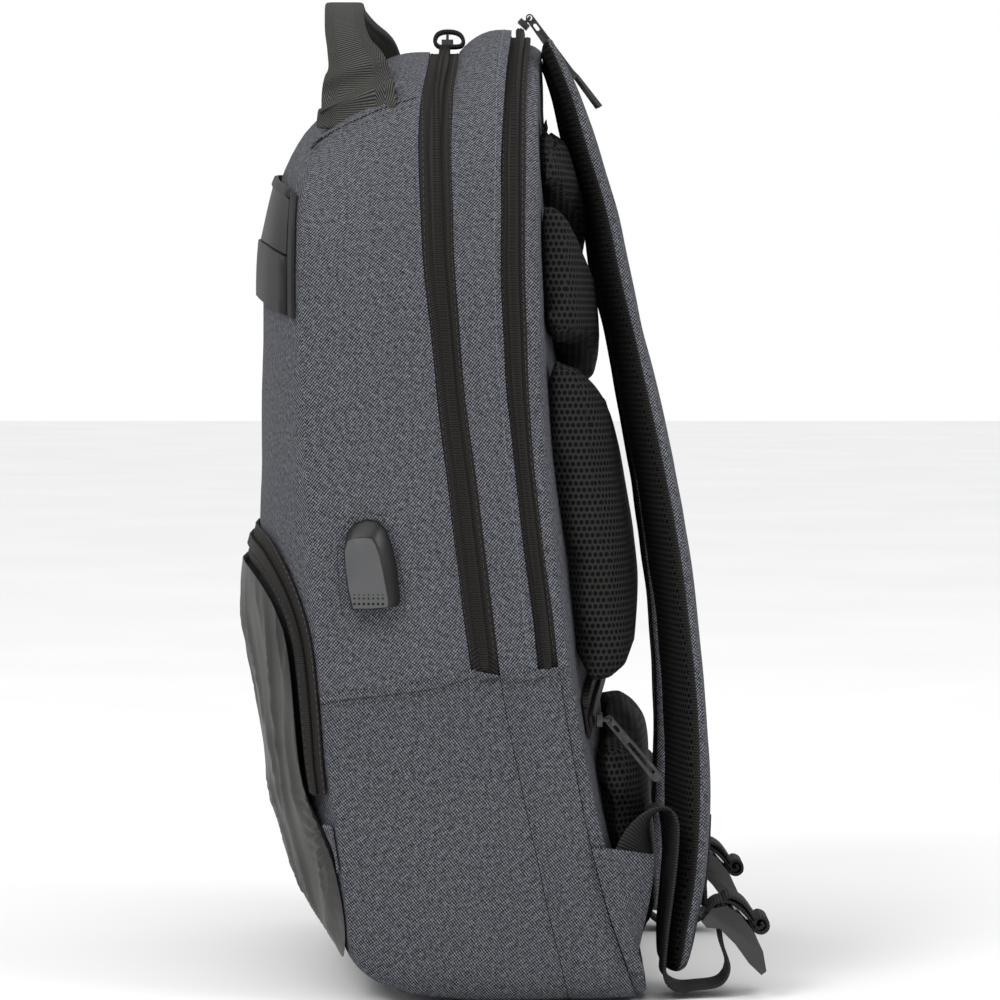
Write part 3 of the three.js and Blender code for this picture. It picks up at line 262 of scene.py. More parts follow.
def writeMap(obj, flat):
    layer = obj.data.uv_layers.get("fabric") or obj.data.uv_layers.new(name="fabric")
    layer.data.foreach_set("uv", flat.ravel())
    obj.data.uv_layers.active = layer


def loopTables(obj):
    mesh = obj.data
    vertexOf = np.empty(len(mesh.loops), dtype=np.int32)
    mesh.loops.foreach_get("vertex_index", vertexOf)
    totals = np.empty(len(mesh.polygons), dtype=np.int32)
    mesh.polygons.foreach_get("loop_total", totals)
    normals = np.empty(len(mesh.polygons) * 3)
    mesh.polygons.foreach_get("normal", normals)
    faceOf = np.repeat(np.arange(len(totals)), totals)
    return pointsOf(obj)[vertexOf], normals.reshape(-1, 3)[faceOf]


def layFabric(obj, limit=0.72):
    places, facing = loopTables(obj)
    x, y, z = places.T
    flat = np.stack([y, aroundAt(x, z)], axis=1)
    front = np.abs(facing[:, 1]) > limit
    flat[front] = np.stack([x, z], axis=1)[front]
    writeMap(obj, flat)


def layBox(obj):
    places, facing = loopTables(obj)
    x, y, z = places.T
    strength = np.abs(facing)
    flat = np.stack([x, z], axis=1)
    side = (strength[:, 0] > strength[:, 1]) & (strength[:, 0] > strength[:, 2])
    flat[side] = np.stack([y, z], axis=1)[side]
    top = (strength[:, 2] > strength[:, 0]) & (strength[:, 2] > strength[:, 1])
    flat[top] = np.stack([x, y], axis=1)[top]
    writeMap(obj, flat)


def layTape(obj, front, rear):
    # across the tape from 0 to 1, and along it in metres
    x, y, z = loopTables(obj)[0].T
    near = lineAt(front, z)
    writeMap(obj, np.stack([(y - near) / (lineAt(rear, z) - near), aroundAt(x, z)], axis=1))


# ---- helpers for materials
def newMaterial(name, **shaderValues):
    material = bpy.data.materials.new(name)
    material.use_nodes = True
    tree = material.node_tree
    shader = tree.nodes["Principled BSDF"]
    for key, value in shaderValues.items():
        shader.inputs[key.replace("_", " ")].default_value = value
    return material, tree, shader


def addNode(tree, kind, settings=None, **inputs):
    node = tree.nodes.new("ShaderNode" + kind)
    for key, value in (settings or {}).items():
        setattr(node, key, value)
    for key, value in inputs.items():
        socket = node.inputs[int(key[1:])] if key[0] == "i" and key[1:].isdigit() else node.inputs[key]
        if isinstance(value, bpy.types.NodeSocket):
            tree.links.new(value, socket)
        else:
            socket.default_value = value
    return node


def maths(tree, operation, first, second=0.0, third=0.0):
    node = addNode(tree, "Math", {"operation": operation}, i0=first, i1=second, i2=third)
    return node.outputs[0]


def fabricMap(tree, angle=0.0):
    source = addNode(tree, "UVMap", {"uv_map": "fabric"}).outputs[0]
    mapping = addNode(tree, "Mapping", Vector=source, Rotation=(0, 0, math.radians(angle)))
    return mapping.outputs[0]


def stretched(tree, vector, scale):
    return addNode(tree, "Mapping", Vector=vector, Scale=scale).outputs[0]


def noiseNode(tree, vector, scale, detail=2.0):
    return addNode(tree, "TexNoise", Vector=vector, Scale=scale, Detail=detail).outputs["Fac"]


def ramp(tree, fac, stops):
    node = addNode(tree, "ValToRGB", Fac=fac)
    elements = node.color_ramp.elements
    while len(elements) < len(stops):
        elements.new(0.5)
    for element, (place, colour) in zip(elements, stops):
        element.position = place
        element.color = (*colour, 1)
    return node.outputs["Color"]


def mixColour(tree, fac, first, second, blend="MIX"):
    node = addNode(tree, "Mix", {"data_type": "RGBA", "blend_type": blend})
    for index, value in ((0, fac), (6, first), (7, second)):
        if isinstance(value, bpy.types.NodeSocket):
            tree.links.new(value, node.inputs[index])
        else:
            node.inputs[index].default_value = value if index == 0 else (*value, 1)
    return node.outputs[2]


def bumpInto(tree, shader, height, strength, distance):
    bump = addNode(tree, "Bump", Height=height, Strength=strength, Distance=distance)
    tree.links.new(bump.outputs[0], shader.inputs["Normal"])


def stripes(tree, value, pitch):
    # a smooth stripe from 0 to 1 for each pitch along value
    wave = maths(tree, "SINE", maths(tree, "MULTIPLY", value, 2 * math.pi / pitch))
    return maths(tree, "MULTIPLY_ADD", wave, 0.5, 0.5)


twillValues = {
    "pitch": 0.00105,
    "upperAngle": 38,
    "lowerAngle": -38,
    "light": (0.225, 0.232, 0.255),
    "middle": (0.050, 0.0535, 0.062),
    "dark": (0.006, 0.0068, 0.0085),
    "roughness": 0.85,
}


def twillFinish(name, angle, tone=1.0):
    material, tree, shader = newMaterial(name, Roughness=twillValues["roughness"], Specular_IOR_Level=0.12)
    cloth = fabricMap(tree, angle)
    axes = addNode(tree, "SeparateXYZ", Vector=cloth)
    pitch = twillValues["pitch"]
    wander = noiseNode(tree, cloth, 500, 1.0)
    warp = stripes(tree, maths(tree, "MULTIPLY_ADD", wander, pitch * 0.5, axes.outputs[0]), pitch)
    weft = stripes(tree, maths(tree, "MULTIPLY_ADD", wander, pitch * 0.5, axes.outputs[1]), pitch * 1.15)
    weave = maths(tree, "MULTIPLY_ADD", warp, 0.62, maths(tree, "MULTIPLY", weft, 0.38))
    threads = noiseNode(tree, stretched(tree, cloth, (1500, 420, 1)), 1.0, 1.0)
    slubs = noiseNode(tree, stretched(tree, cloth, (260, 900, 1)), 1.0, 2.0)
    mixed = maths(tree, "ADD", maths(tree, "MULTIPLY_ADD", weave, 0.85, -0.55),
                  maths(tree, "MULTIPLY_ADD", threads, 0.85, maths(tree, "MULTIPLY", slubs, 0.45)))
    # tone scales every colour of the weave; below 1 it paints shade
    colour = ramp(tree, mixed, [
        (0.15, tuple(c * tone for c in twillValues["dark"])),
        (0.52, tuple(c * tone for c in twillValues["middle"])),
        (0.95, tuple(c * tone for c in twillValues["light"])),
    ])
    patches = noiseNode(tree, cloth, 14, 3.0)
    clouds = ramp(tree, patches, [(0.3, (0.90, 0.90, 0.92)), (0.7, (1.0, 1.0, 1.0))])
    tree.links.new(mixColour(tree, 1.0, colour, clouds, "MULTIPLY"), shader.inputs["Base Color"])
    bumpInto(tree, shader, mixed, 0.5, 0.0003)
    return material


def tapeFinish(name):
    material, tree, shader = newMaterial(name, Roughness=0.78, Specular_IOR_Level=0.15)
    axes = addNode(tree, "SeparateXYZ", Vector=fabricMap(tree))
    across = maths(tree, "ABSOLUTE", maths(tree, "SUBTRACT", axes.outputs[0], 0.5))
    slant = maths(tree, "MULTIPLY_ADD", across, 0.006, axes.outputs[1])
    ribs = stripes(tree, slant, 0.0012)
    grooves = stripes(tree, across, 0.125)
    weave = maths(tree, "MULTIPLY", ribs, maths(tree, "MULTIPLY_ADD", grooves, 0.4, 0.6))
    colour = ramp(tree, weave, [(0.0, (0.006, 0.0055, 0.005)), (1.0, (0.034, 0.031, 0.028))])
    tree.links.new(colour, shader.inputs["Base Color"])
    bumpInto(tree, shader, weave, 0.5, 0.0003)
    return material


def coilFinish(name):
    material, tree, shader = newMaterial(name, Roughness=0.6, Specular_IOR_Level=0.15)
    axes = addNode(tree, "SeparateXYZ", Vector=fabricMap(tree))
    ribs = stripes(tree, axes.outputs[1], 0.0011)
    colour = ramp(tree, ribs, [(0.0, (0.004, 0.0036, 0.0032)), (1.0, (0.020, 0.0185, 0.017))])
    tree.links.new(colour, shader.inputs["Base Color"])
    bumpInto(tree, shader, ribs, 0.5, 0.0002)
    return material


def coatedFinish(name):
    material, tree, shader = newMaterial(name, Specular_IOR_Level=0.4)
    source = addNode(tree, "TexCoord").outputs["Object"]
    creases = noiseNode(tree, stretched(tree, source, (1, 1, 0.35)), 60, 4.0)
    grain = noiseNode(tree, source, 1400, 2.0)
    # painted shade: the colour darkens in the valleys of the crease noise, which also sets the bump height
    colour = ramp(tree, creases, [(0.3, (0.0135, 0.0132, 0.012)), (0.72, (0.025, 0.0243, 0.022))])
    tree.links.new(colour, shader.inputs["Base Color"])
    rough = maths(tree, "MULTIPLY_ADD", creases, 0.20, 0.36)
    tree.links.new(rough, shader.inputs["Roughness"])
    height = maths(tree, "MULTIPLY_ADD", creases, 3.0, grain)
    bumpInto(tree, shader, height, 0.35, 0.0006)
    return material


def glossFinish(name, low, high, roughness, specular, coat):
    material, tree, shader = newMaterial(name, Specular_IOR_Level=specular, Coat_Weight=coat, Coat_Roughness=0.18)
    source = addNode(tree, "TexCoord").outputs["Object"]
    soft = noiseNode(tree, source, 45, 3.0)
    grain = noiseNode(tree, source, 2200, 1.0)
    tree.links.new(ramp(tree, soft, [(0.3, low), (0.7, high)]), shader.inputs["Base Color"])
    rough = maths(tree, "MULTIPLY_ADD", grain, 0.12, roughness - 0.06)
    tree.links.new(rough, shader.inputs["Roughness"])
    bumpInto(tree, shader, maths(tree, "MULTIPLY_ADD", soft, 4.0, grain), 0.2, 0.0003)
    return material


def meshFinish(name, scale=1.0):
    # black knit with staggered oval holes
    material, tree, shader = newMaterial(name, Roughness=0.8, Specular_IOR_Level=0.12)
    axes = addNode(tree, "SeparateXYZ", Vector=fabricMap(tree))
    pitch = 0.0026 * scale
    rise = 0.0030 * scale
    row = maths(tree, "DIVIDE", axes.outputs[1], rise)
    odd = maths(tree, "MODULO", maths(tree, "FLOOR", row), 2.0)
    column = maths(tree, "MULTIPLY_ADD", odd, 0.5, maths(tree, "DIVIDE", axes.outputs[0], pitch))
    dx = maths(tree, "SUBTRACT", maths(tree, "FRACT", column), 0.5)
    dy = maths(tree, "SUBTRACT", maths(tree, "FRACT", row), 0.5)
    away = maths(tree, "SQRT", maths(tree, "ADD", maths(tree, "MULTIPLY", dx, dx), maths(tree, "MULTIPLY", dy, dy)))
    hole = addNode(tree, "MapRange", {"interpolation_type": "SMOOTHSTEP"}, Value=away)
    hole.inputs["From Min"].default_value = 0.27
    hole.inputs["From Max"].default_value = 0.42
    rim = hole.outputs[0]
    threads = noiseNode(tree, fabricMap(tree), 1600, 2.0)
    yarn = maths(tree, "MULTIPLY", rim, maths(tree, "MULTIPLY_ADD", threads, 0.9, 0.3))
    colour = ramp(tree, yarn, [(0.0, (0.0004, 0.0004, 0.0004)), (1.0, (0.026, 0.0253, 0.0245))])
    tree.links.new(colour, shader.inputs["Base Color"])
    bumpInto(tree, shader, rim, 0.9, 0.0007)
    return material


def webbingFinish(name, low, high, herringbone=False):
    # the map runs across from -1 to 1 and along in metres
    material, tree, shader = newMaterial(name, Roughness=0.72, Specular_IOR_Level=0.2)
    axes = addNode(tree, "SeparateXYZ", Vector=fabricMap(tree))
    side = maths(tree, "ABSOLUTE", axes.outputs[0])
    if herringbone:
        fold = maths(tree, "PINGPONG", side, 0.25)
        slant = maths(tree, "MULTIPLY_ADD", fold, 0.026, axes.outputs[1])
        border = maths(tree, "GREATER_THAN", side, 0.5)
        diagonal = stripes(tree, slant, 0.0015)
        plain = stripes(tree, axes.outputs[1], 0.0011)
        ribs = maths(tree, "ADD", maths(tree, "MULTIPLY", diagonal, border),
                     maths(tree, "MULTIPLY", plain, maths(tree, "SUBTRACT", 1.0, border)))
    else:
        ribs = stripes(tree, axes.outputs[1], 0.0013)
    yarn = noiseNode(tree, stretched(tree, fabricMap(tree), (12, 1400, 1)), 1.0, 1.0)
    weave = maths(tree, "MULTIPLY", ribs, maths(tree, "MULTIPLY_ADD", yarn, 0.7, 0.45))
    tree.links.new(ramp(tree, weave, [(0.0, low), (1.0, high)]), shader.inputs["Base Color"])
    bumpInto(tree, shader, weave, 0.7, 0.0004)
    return material


def threadFinish(name, colour):
    material, tree, shader = newMaterial(name, Roughness=0.7)
    twist = noiseNode(tree, addNode(tree, "TexCoord").outputs["Object"], 2500, 1.0)
    darker = tuple(c * 0.5 for c in colour)
    tree.links.new(ramp(tree, twist, [(0.3, darker), (0.7, colour)]), shader.inputs["Base Color"])
    return material


def metalFinish(name):
    material, tree, shader = newMaterial(name, Metallic=1.0)
    source = addNode(tree, "TexCoord").outputs["Object"]
    wear = noiseNode(tree, source, 350, 4.0)
    colour = ramp(tree, wear, [(0.3, (0.045, 0.045, 0.047)), (0.7, (0.085, 0.085, 0.088))])
    tree.links.new(colour, shader.inputs["Base Color"])
    tree.links.new(maths(tree, "MULTIPLY_ADD", wear, 0.2, 0.26), shader.inputs["Roughness"])
    bumpInto(tree, shader, wear, 0.08, 0.0002)
    return material


def floorFinish():
    material, tree, shader = newMaterial("paleFloor", Roughness=1.0, Specular_IOR_Level=0.0)
    source = addNode(tree, "TexCoord").outputs["Object"]
    tone = noiseNode(tree, source, 3, 2.0)
    colour = ramp(tree, tone, [(0.3, (0.80, 0.80, 0.80)), (0.7, (0.83, 0.83, 0.83))])
    tree.links.new(colour, shader.inputs["Base Color"])
    return material


upperTwill = twillFinish("upperTwill", twillValues["upperAngle"])
# the lower panels are the same twill as the upper ones; their 0.92 darkening is painted shade
lowerTwill = twillFinish("lowerTwill", twillValues["lowerAngle"], 0.92)
zipTape = tapeFinish("zipTape")
zipCoil = coilFinish("zipCoil")
coated = coatedFinish("coated")
bandDark = glossFinish("bandDark", (0.002, 0.0022, 0.0026), (0.004, 0.0043, 0.005), 0.34, 0.10, 0.0)
bandLight = glossFinish("bandLight", (0.010, 0.010, 0.0098), (0.017, 0.0168, 0.0164), 0.45, 0.18, 0.0)
portSatin = glossFinish("portSatin", (0.064, 0.065, 0.067), (0.082, 0.083, 0.086), 0.42, 0.35, 0.05)
knit = meshFinish("knit")
strapKnit = meshFinish("strapKnit", 0.9)
handleWeb = webbingFinish("handleWeb", (0.002, 0.002, 0.0018), (0.100, 0.099, 0.090), True)
darkWeb = webbingFinish("darkWeb", (0.004, 0.004, 0.0045), (0.032, 0.032, 0.034))
edgeBinding = webbingFinish("edgeBinding", (0.005, 0.0048, 0.0045), (0.026, 0.025, 0.023))
buckleGloss = glossFinish("buckleGloss", (0.006, 0.0062, 0.0067), (0.011, 0.0113, 0.012), 0.26, 0.45, 0.5)
gunmetal = metalFinish("gunmetal")
darkThread = threadFinish("darkThread", (0.035, 0.033, 0.031))
greyThread = threadFinish("greyThread", (0.16, 0.17, 0.20))
print("materials made")


# ---- body shells
crown = {"foot": 0.400, "height": 0.055, "side": 0.0012, "top": 0.0042, "blend": 0.02}
sideSeam = {"height": 0.1565, "slope": 0.17}


def roundCrown(obj):
    # the panel between the two zips swells a little, and more over the top
    points = pointsOf(obj)
    front = lineAt("mainZipRear", points[:, 2])
    rear = lineAt("laptopZipFront", points[:, 2])
    share = np.clip((points[:, 1] - front) / (rear - front), 0, 1)
    up = rise(points[:, 2], crown["foot"], crown["height"])
    above = rise(points[:, 2], sideLines["mainZipRear"][0][0], crown["blend"])
    swell = 4 * share * (1 - share) * (crown["side"] + (crown["top"] - crown["side"]) * up) * above
    movePoints(obj, points + normalsOf(obj) * swell[:, None])


def dressShell(nodeName, pieceName):
    obj = copyNode(nodeName, pieceName)
    creaseEdges(obj, 38, 1.0)
    applyModifier(obj, "SUBSURF", levels=2)
    roundCrown(obj)
    sway(obj)
    layFabric(obj)
    shadeSmooth(obj, 55)
    finishPiece(obj, None, [nodeName])
    obj.data.materials.append(upperTwill)
    obj.data.materials.append(lowerTwill)
    for polygon in obj.data.polygons:
        seam = sideSeam["height"] + sideSeam["slope"] * min(polygon.center.y, 0)
        polygon.material_index = 1 if polygon.center.z < seam else 0
    return obj


frontBody = dressShell("front_shell", "frontBody")
gussetPanel = dressShell("gusset_ring", "gussetPanel")
backPanel = dressShell("back_shell", "backPanel")
print("shells made")


def surfaceOf(*objects):
    vertices = []
    faces = []
    for obj in objects:
        first = len(vertices)
        vertices += [vertex.co.copy() for vertex in obj.data.vertices]
        faces += [[first + v for v in polygon.vertices] for polygon in obj.data.polygons]
    return BVHTree.FromPolygons(vertices, faces)


bodySkin = surfaceOf(frontBody, gussetPanel, backPanel)


# ---- zips of the body
tapeValues = {"spread": 0.0007, "half": 0.004, "end": 0.002, "tuck": 0.0075, "sink": 0.0009}
coilValues = {"lift": 0.0018, "reach": 0.012}


def dressTape(nodeName, pieceName, front, rear):
    obj = copyNode(nodeName, pieceName)
    creaseEdges(obj, 50, 1.0)
    applyModifier(obj, "SUBSURF", levels=2)
    layTape(obj, front, rear)
    points = pointsOf(obj)
    middle = (lineAt(front, points[:, 2]) + lineAt(rear, points[:, 2])) / 2
    points[:, 1] += np.clip((points[:, 1] - middle) / tapeValues["half"], -1, 1) * tapeValues["spread"]
    # the ends run on under the side panels
    atEnd = points[:, 2] < points[:, 2].min() + tapeValues["end"]
    points[atEnd, 2] -= tapeValues["tuck"]
    points[atEnd, 0] -= np.sign(points[atEnd, 0]) * tapeValues["sink"]
    movePoints(obj, points)
    sway(obj)
    shadeSmooth(obj, 50)
    return finishPiece(obj, zipTape, [nodeName])


def dressCoil(nodeName, pieceName, front, rear, sliderX):
    obj = copyNode(nodeName, pieceName)
    creaseEdges(obj, 50, 0.3)
    applyModifier(obj, "SUBSURF", levels=2)
    # it rises into the slider on the crown
    points = pointsOf(obj)
    near = np.exp(-((points[:, 0] - sliderX) / coilValues["reach"]) ** 2)
    points[:, 2] += coilValues["lift"] * near * (points[:, 2] > crown["foot"])
    movePoints(obj, points)
    sway(obj)
    layTape(obj, front, rear)
    shadeSmooth(obj, 50)
    return finishPiece(obj, zipCoil, [nodeName])


mainTape = dressTape("main_zip_tape", "mainTape", "mainZipFront", "mainZipRear")
laptopTape = dressTape("laptop_zip_tape", "laptopTape", "laptopZipFront", "laptopZipRear")
mainCoil = dressCoil("main_zip_coil", "mainCoil", "mainZipFront", "mainZipRear", 0.0191)
laptopCoil = dressCoil("laptop_zip_coil", "laptopCoil", "laptopZipFront", "laptopZipRear", 0.0051)
print("zips made")


# ---- front pocket
def dressSoft(nodeName, pieceName, material, slot, crease=(45, 0.6), levels=2):
    obj = copyNode(nodeName, pieceName)
    creaseEdges(obj, *crease)
    applyModifier(obj, "SUBSURF", levels=levels)
    sway(obj)
    layFabric(obj)
    shadeSmooth(obj, 50)
    return finishPiece(obj, material, [nodeName])


def smoothRows(rows, steps):
    rows = np.array(rows, dtype=float)
    out = []
    last = len(rows) - 1
    for i in range(last):
        before = rows[max(i - 1, 0)]
        after = rows[min(i + 2, last)]
        for k in range(steps):
            t = k / steps
            out.append(0.5 * (2 * rows[i] + (rows[i + 1] - before) * t
                              + (2 * before - 5 * rows[i] + 4 * rows[i + 1] - after) * t * t
                              + (3 * rows[i] - before - 3 * rows[i + 1] + after) * t ** 3))
    out.append(rows[last])
    return np.array(out)


pocketValues = {
    "fold": 0.0021,
    "foldSize": (0.017, 0.017, 0.085),
    "gather": 0.0010,
    "gatherPitch": 0.0062,
    "gatherAt": (0.1285, -0.0905, 0.076),
    "gatherReach": (0.012, 0.017, 0.026),
    "gatherWave": (0.0022, 420),
    # start and length of the ramps at the foot and, downwards, at the top
    "footRamp": (0.022, 0.02),
    "topRamp": (-0.200, 0.03),
    # outer and inner edge of the zip tape, in millimetres, from its foot to its middle
    "tapeRows": [
        ((135, -80.7, 97.5), (126, -89, 97.5)), ((135, -83.3, 122.6), (126, -92.3, 122.6)),
        ((135, -86.2, 157), (126, -95.7, 157)), ((132, -89.6, 176.2), (123, -98.6, 170.9)),
        ((123.2, -96.1, 193.5), (114.2, -103.9, 183.5)), ((109.5, -103.5, 207.2), (100.5, -110.3, 193.4)),
        ((92.2, -110.3, 216), (83.2, -115.8, 199.8)), ((73, -115.2, 219), (64, -119.7, 202)),
        ((35, -119.5, 220), (30.5, -122.7, 203)), ((-2.9, -120.1, 220.3), (-2.9, -123.2, 203.3)),
    ],
}


def makePocket():
    obj = copyNode("pocket_panel", "pocketPanel")
    creaseEdges(obj, 50, 0.6)
    applyModifier(obj, "SUBSURF", levels=3)
    points = pointsOf(obj)
    normals = normalsOf(obj)
    x, y, z = points.T
    size = np.array(pocketValues["foldSize"])
    soft = np.array([noise.noise(Vector(p / size) + Vector((4.2, 1.3, 7.7))) for p in points])
    ridge = (1 - np.minimum(np.abs(soft) * 2.6, 1)) ** 2
    room = rise(z, *pocketValues["footRamp"]) * rise(-z, *pocketValues["topRamp"])
    lift = pocketValues["fold"] * (ridge - 0.45) * room
    at = pocketValues["gatherAt"]
    reach = pocketValues["gatherReach"]
    away = (((np.abs(x - middleX) - at[0]) / reach[0]) ** 2 + ((y - at[1]) / reach[1]) ** 2
            + ((z - at[2]) / reach[2]) ** 2)
    height, rate = pocketValues["gatherWave"]
    rays = (z - 0.35 * y + height * np.sin(y * rate)) * 2 * math.pi / pocketValues["gatherPitch"]
    lift += np.exp(-away) * pocketValues["gather"] * np.sin(rays)
    outside = np.clip(-normals[:, 1] * 2 + np.abs(normals[:, 0]), 0, 1)
    movePoints(obj, points + normals * (lift * outside)[:, None])
    sway(obj)
    layFabric(obj)
    shadeSmooth(obj, 60)
    return finishPiece(obj, coated, ["pocket_panel"])


pocketPanel = makePocket()
pocketTape = dressSoft("pocket_zip_tape", "pocketTape", zipTape, "zip_tape")
pocketCoil = dressSoft("pocket_zip_coil", "pocketCoil", zipCoil, "zip_coil")


def pocketRows():
    rows = np.array(pocketValues["tapeRows"]) / 1000
    return smoothRows(rows.reshape(len(rows), 6), 6).reshape(-1, 2, 3)


def layPocketTape(obj):
    fine = pocketRows()
    middle = fine.mean(axis=1)
    length = np.concatenate([[0], np.cumsum(np.linalg.norm(np.diff(middle, axis=0), axis=1))])
    right = loopTables(obj)[0].copy()
    right[:, 0] = middleX + np.abs(right[:, 0] - middleX)
    nearest = np.array([int(np.argmin(np.sum((middle - p) ** 2, axis=1))) for p in right])
    wide = fine[nearest, 1] - fine[nearest, 0]
    share = np.sum((right - fine[nearest, 0]) * wide, axis=1) / np.sum(wide * wide, axis=1)
    writeMap(obj, np.stack([share, length[nearest] + (right[:, 2] - middle[nearest, 2])], axis=1))


layPocketTape(pocketTape)
layPocketTape(pocketCoil)
for nodeName, pieceName, material, slot, *edges in (
    ("pocket_patch_right", "patchRight", upperTwill, "twill"),
    ("pocket_patch_left", "patchLeft", upperTwill, "twill"),
    ("band_upper_panel", "bandPanel", bandDark, "gloss_band", (30, 0.7), 1),
    ("band_lower_strip", "bandStrip", bandLight, "gloss_band", (30, 0.7), 1),
    ("band_top_rim", "bandTopRim", bandLight, "gloss_band", (30, 0.5), 1),
    ("band_rim_right", "bandSideRight", bandLight, "gloss_band", (30, 0.5), 1),
    ("band_rim_left", "bandSideLeft", bandLight, "gloss_band", (30, 0.5), 1),
):
    dressSoft(nodeName, pieceName, material, slot, *edges)
print("front made")


# ---- ribbons: straps, webbing and handle
def ribbonPiece(name, places, across, widths, depths, profile, materialsAt=None):
    # profile: points of the section as shares of half width and half depth, in order round it
    count = len(profile)
    vertices = []
    along = np.gradient(places, axis=0)
    length = np.concatenate([[0], np.cumsum(np.linalg.norm(np.diff(places, axis=0), axis=1))])
    for i, place in enumerate(places):
        forward = along[i] / np.linalg.norm(along[i])
        side = across[i] - forward * np.dot(across[i], forward)
        side /= np.linalg.norm(side)
        face = np.cross(forward, side)
        for u, v in profile:
            vertices.append(place + side * u * widths[i] / 2 + face * v * depths[i] / 2)
    faces = []
    maps = []
    for i in range(len(places) - 1):
        for k in range(count):
            after = (k + 1) % count
            faces.append((i * count + k, i * count + after, (i + 1) * count + after, (i + 1) * count + k))
            u0 = profile[k][0]
            u1 = profile[after][0]
            maps += [(u0, length[i]), (u1, length[i]), (u1, length[i + 1]), (u0, length[i + 1])]
    last = (len(places) - 1) * count
    faces.append(tuple(reversed(range(count))))
    maps += [(profile[k][0], 0) for k in reversed(range(count))]
    faces.append(tuple(range(last, last + count)))
    maps += [(profile[k][0], length[-1]) for k in range(count)]
    mesh = bpy.data.meshes.new(name)
    mesh.from_pydata([tuple(v) for v in vertices], [], faces)
    obj = bpy.data.objects.new(name, mesh)
    bpy.context.collection.objects.link(obj)
    writeMap(obj, np.array(maps))
    if materialsAt:
        for index, polygon in enumerate(mesh.polygons):
            k = index % count if index < (len(places) - 1) * count else 0
            polygon.material_index = materialsAt[k]
    return obj


strapValues = {
    # x, y, z in millimetres, turn in degrees, then width and thickness
    "rows": [
        (45.1, 22.2, 448.2, 3, 54, 5.4), (46.1, 26.8, 438, 4, 56.4, 6.6), (48.1, 33.4, 419.9, 5, 60, 9),
        (50.1, 40, 396.7, 6, 60, 10.8), (53.1, 47.9, 368.9, 7, 60, 11.4), (56.6, 53.8, 338.7, 8, 60, 12),
        (60.6, 60.7, 308.6, 8, 60, 12), (66.1, 68.6, 271.4, 9, 60, 12), (71.6, 75.2, 236.6, 10, 60, 12),
        (77.1, 80.8, 201.8, 11, 60, 12), (82.1, 84.5, 167, 12, 58.8, 12), (86.6, 87.4, 132.2, 13, 56.4, 12),
        (90.6, 88.4, 95.1, 14, 52.8, 12), (93.1, 86.8, 60.3, 15, 48, 12), (94.6, 83.4, 32.5, 15, 42, 11.4),
        (95.1, 81.5, 18.2, 15, 36, 9), (95.1, 80.8, 13.5, 15, 26, 7), (95.1, 80.4, 11.4, 15, 15, 4.5),
    ],
    "profile": [
        (-0.86, -0.55), (-0.80, -0.86), (-0.5, -1.0), (0.0, -1.04), (0.5, -1.0), (0.80, -0.86), (0.86, -0.55),
        (0.94, -0.48), (1.0, -0.2), (1.0, 0.25), (0.94, 0.5), (0.86, 0.55),
        (0.80, 0.82), (0.5, 0.96), (0.0, 1.0), (-0.5, 0.96), (-0.80, 0.82), (-0.86, 0.55),
        (-0.94, 0.5), (-1.0, 0.25), (-1.0, -0.2), (-0.94, -0.48),
    ],
    # twill outside, knit inside, binding at both edges
    "materials": [0] * 9 + [2, 2] + [1] * 6 + [2, 2, 0, 0, 0],
}


def makeStrap():
    rows = smoothRows(strapValues["rows"], 6)
    turn = np.radians(rows[:, 3])
    across = np.stack([np.cos(turn), np.sin(turn), np.zeros(len(turn))], axis=1)
    obj = ribbonPiece("strapRight", rows[:, :3] / 1000, across, rows[:, 4] / 1000, rows[:, 5] / 1000,
                      strapValues["profile"], strapValues["materials"])
    applyModifier(obj, "SUBSURF", levels=1)
    crumple(obj, [(0.05, 0.0010, 11), (0.02, 0.0004, 12)])
    layBox(obj)
    shadeSmooth(obj, 60)
    return obj


strapRight = makeStrap()
finishPiece(strapRight, None, ["shoulder_strap_right"])
for finish in (upperTwill, strapKnit, edgeBinding):
    strapRight.data.materials.append(finish)
strapLeft = finishTwin(strapRight, "strapLeft", "twill", "shoulder_strap_left")

flatBand = [(-1, -0.5), (-0.94, -1), (-0.5, -1), (0, -1), (0.5, -1), (0.94, -1), (1, -0.5), (1, 0.5), (0.94, 1),
            (0.5, 1), (0, 1), (-0.5, 1), (-0.94, 1), (-1, 0.5)]


def levelBand(name, path, width, thickness, across=(1.0, 0, 0)):
    count = len(path)
    return ribbonPiece(name, path, np.tile(across, (count, 1)), np.full(count, width), np.full(count, thickness),
                       flatBand)


handleValues = {
    # x, y, z of its middle, direction across as y and z, width and thickness, in millimetres
    "near": [
        (84.5, -67.5, 424, 1, 0.40, 34.5, 3.0), (80, -67.5, 436, 1, 0.30, 29.5, 3.6),
        (74.5, -71, 446, 1, 0.12, 22, 4.4), (66, -73.5, 455, 1, 0.05, 19.5, 4.9), (50, -74.5, 463.5, 1, 0.02, 19, 5),
    ],
    "top": [(22.9, -75.5, 469.0, 1, 0, 19, 5), (-2.9, -76, 470.2, 1, 0, 19, 5), (-28.7, -75.5, 469.0, 1, 0, 19, 5)],
    "far": [
        (-52, -72.5, 464.5, 1, 0.03, 22, 4.8), (-70, -68, 457, 1, 0.10, 29, 4.2), (-81, -66.5, 446, 1, 0.25, 34, 3.4),
        (-90, -66.5, 428, 1, 0.40, 37, 2.8),
    ],
    # front and rear corner of each foot as y and z
    "foot": [(-85.5, 403.5), (-49, 418.5)],
    # soft ridges near the feet: height, half length, depth, slope and pitch, in metres
    "ridges": (0.424, 0.016, 0.0012, 0.38, 0.0135),
}
rayStart = 0.3


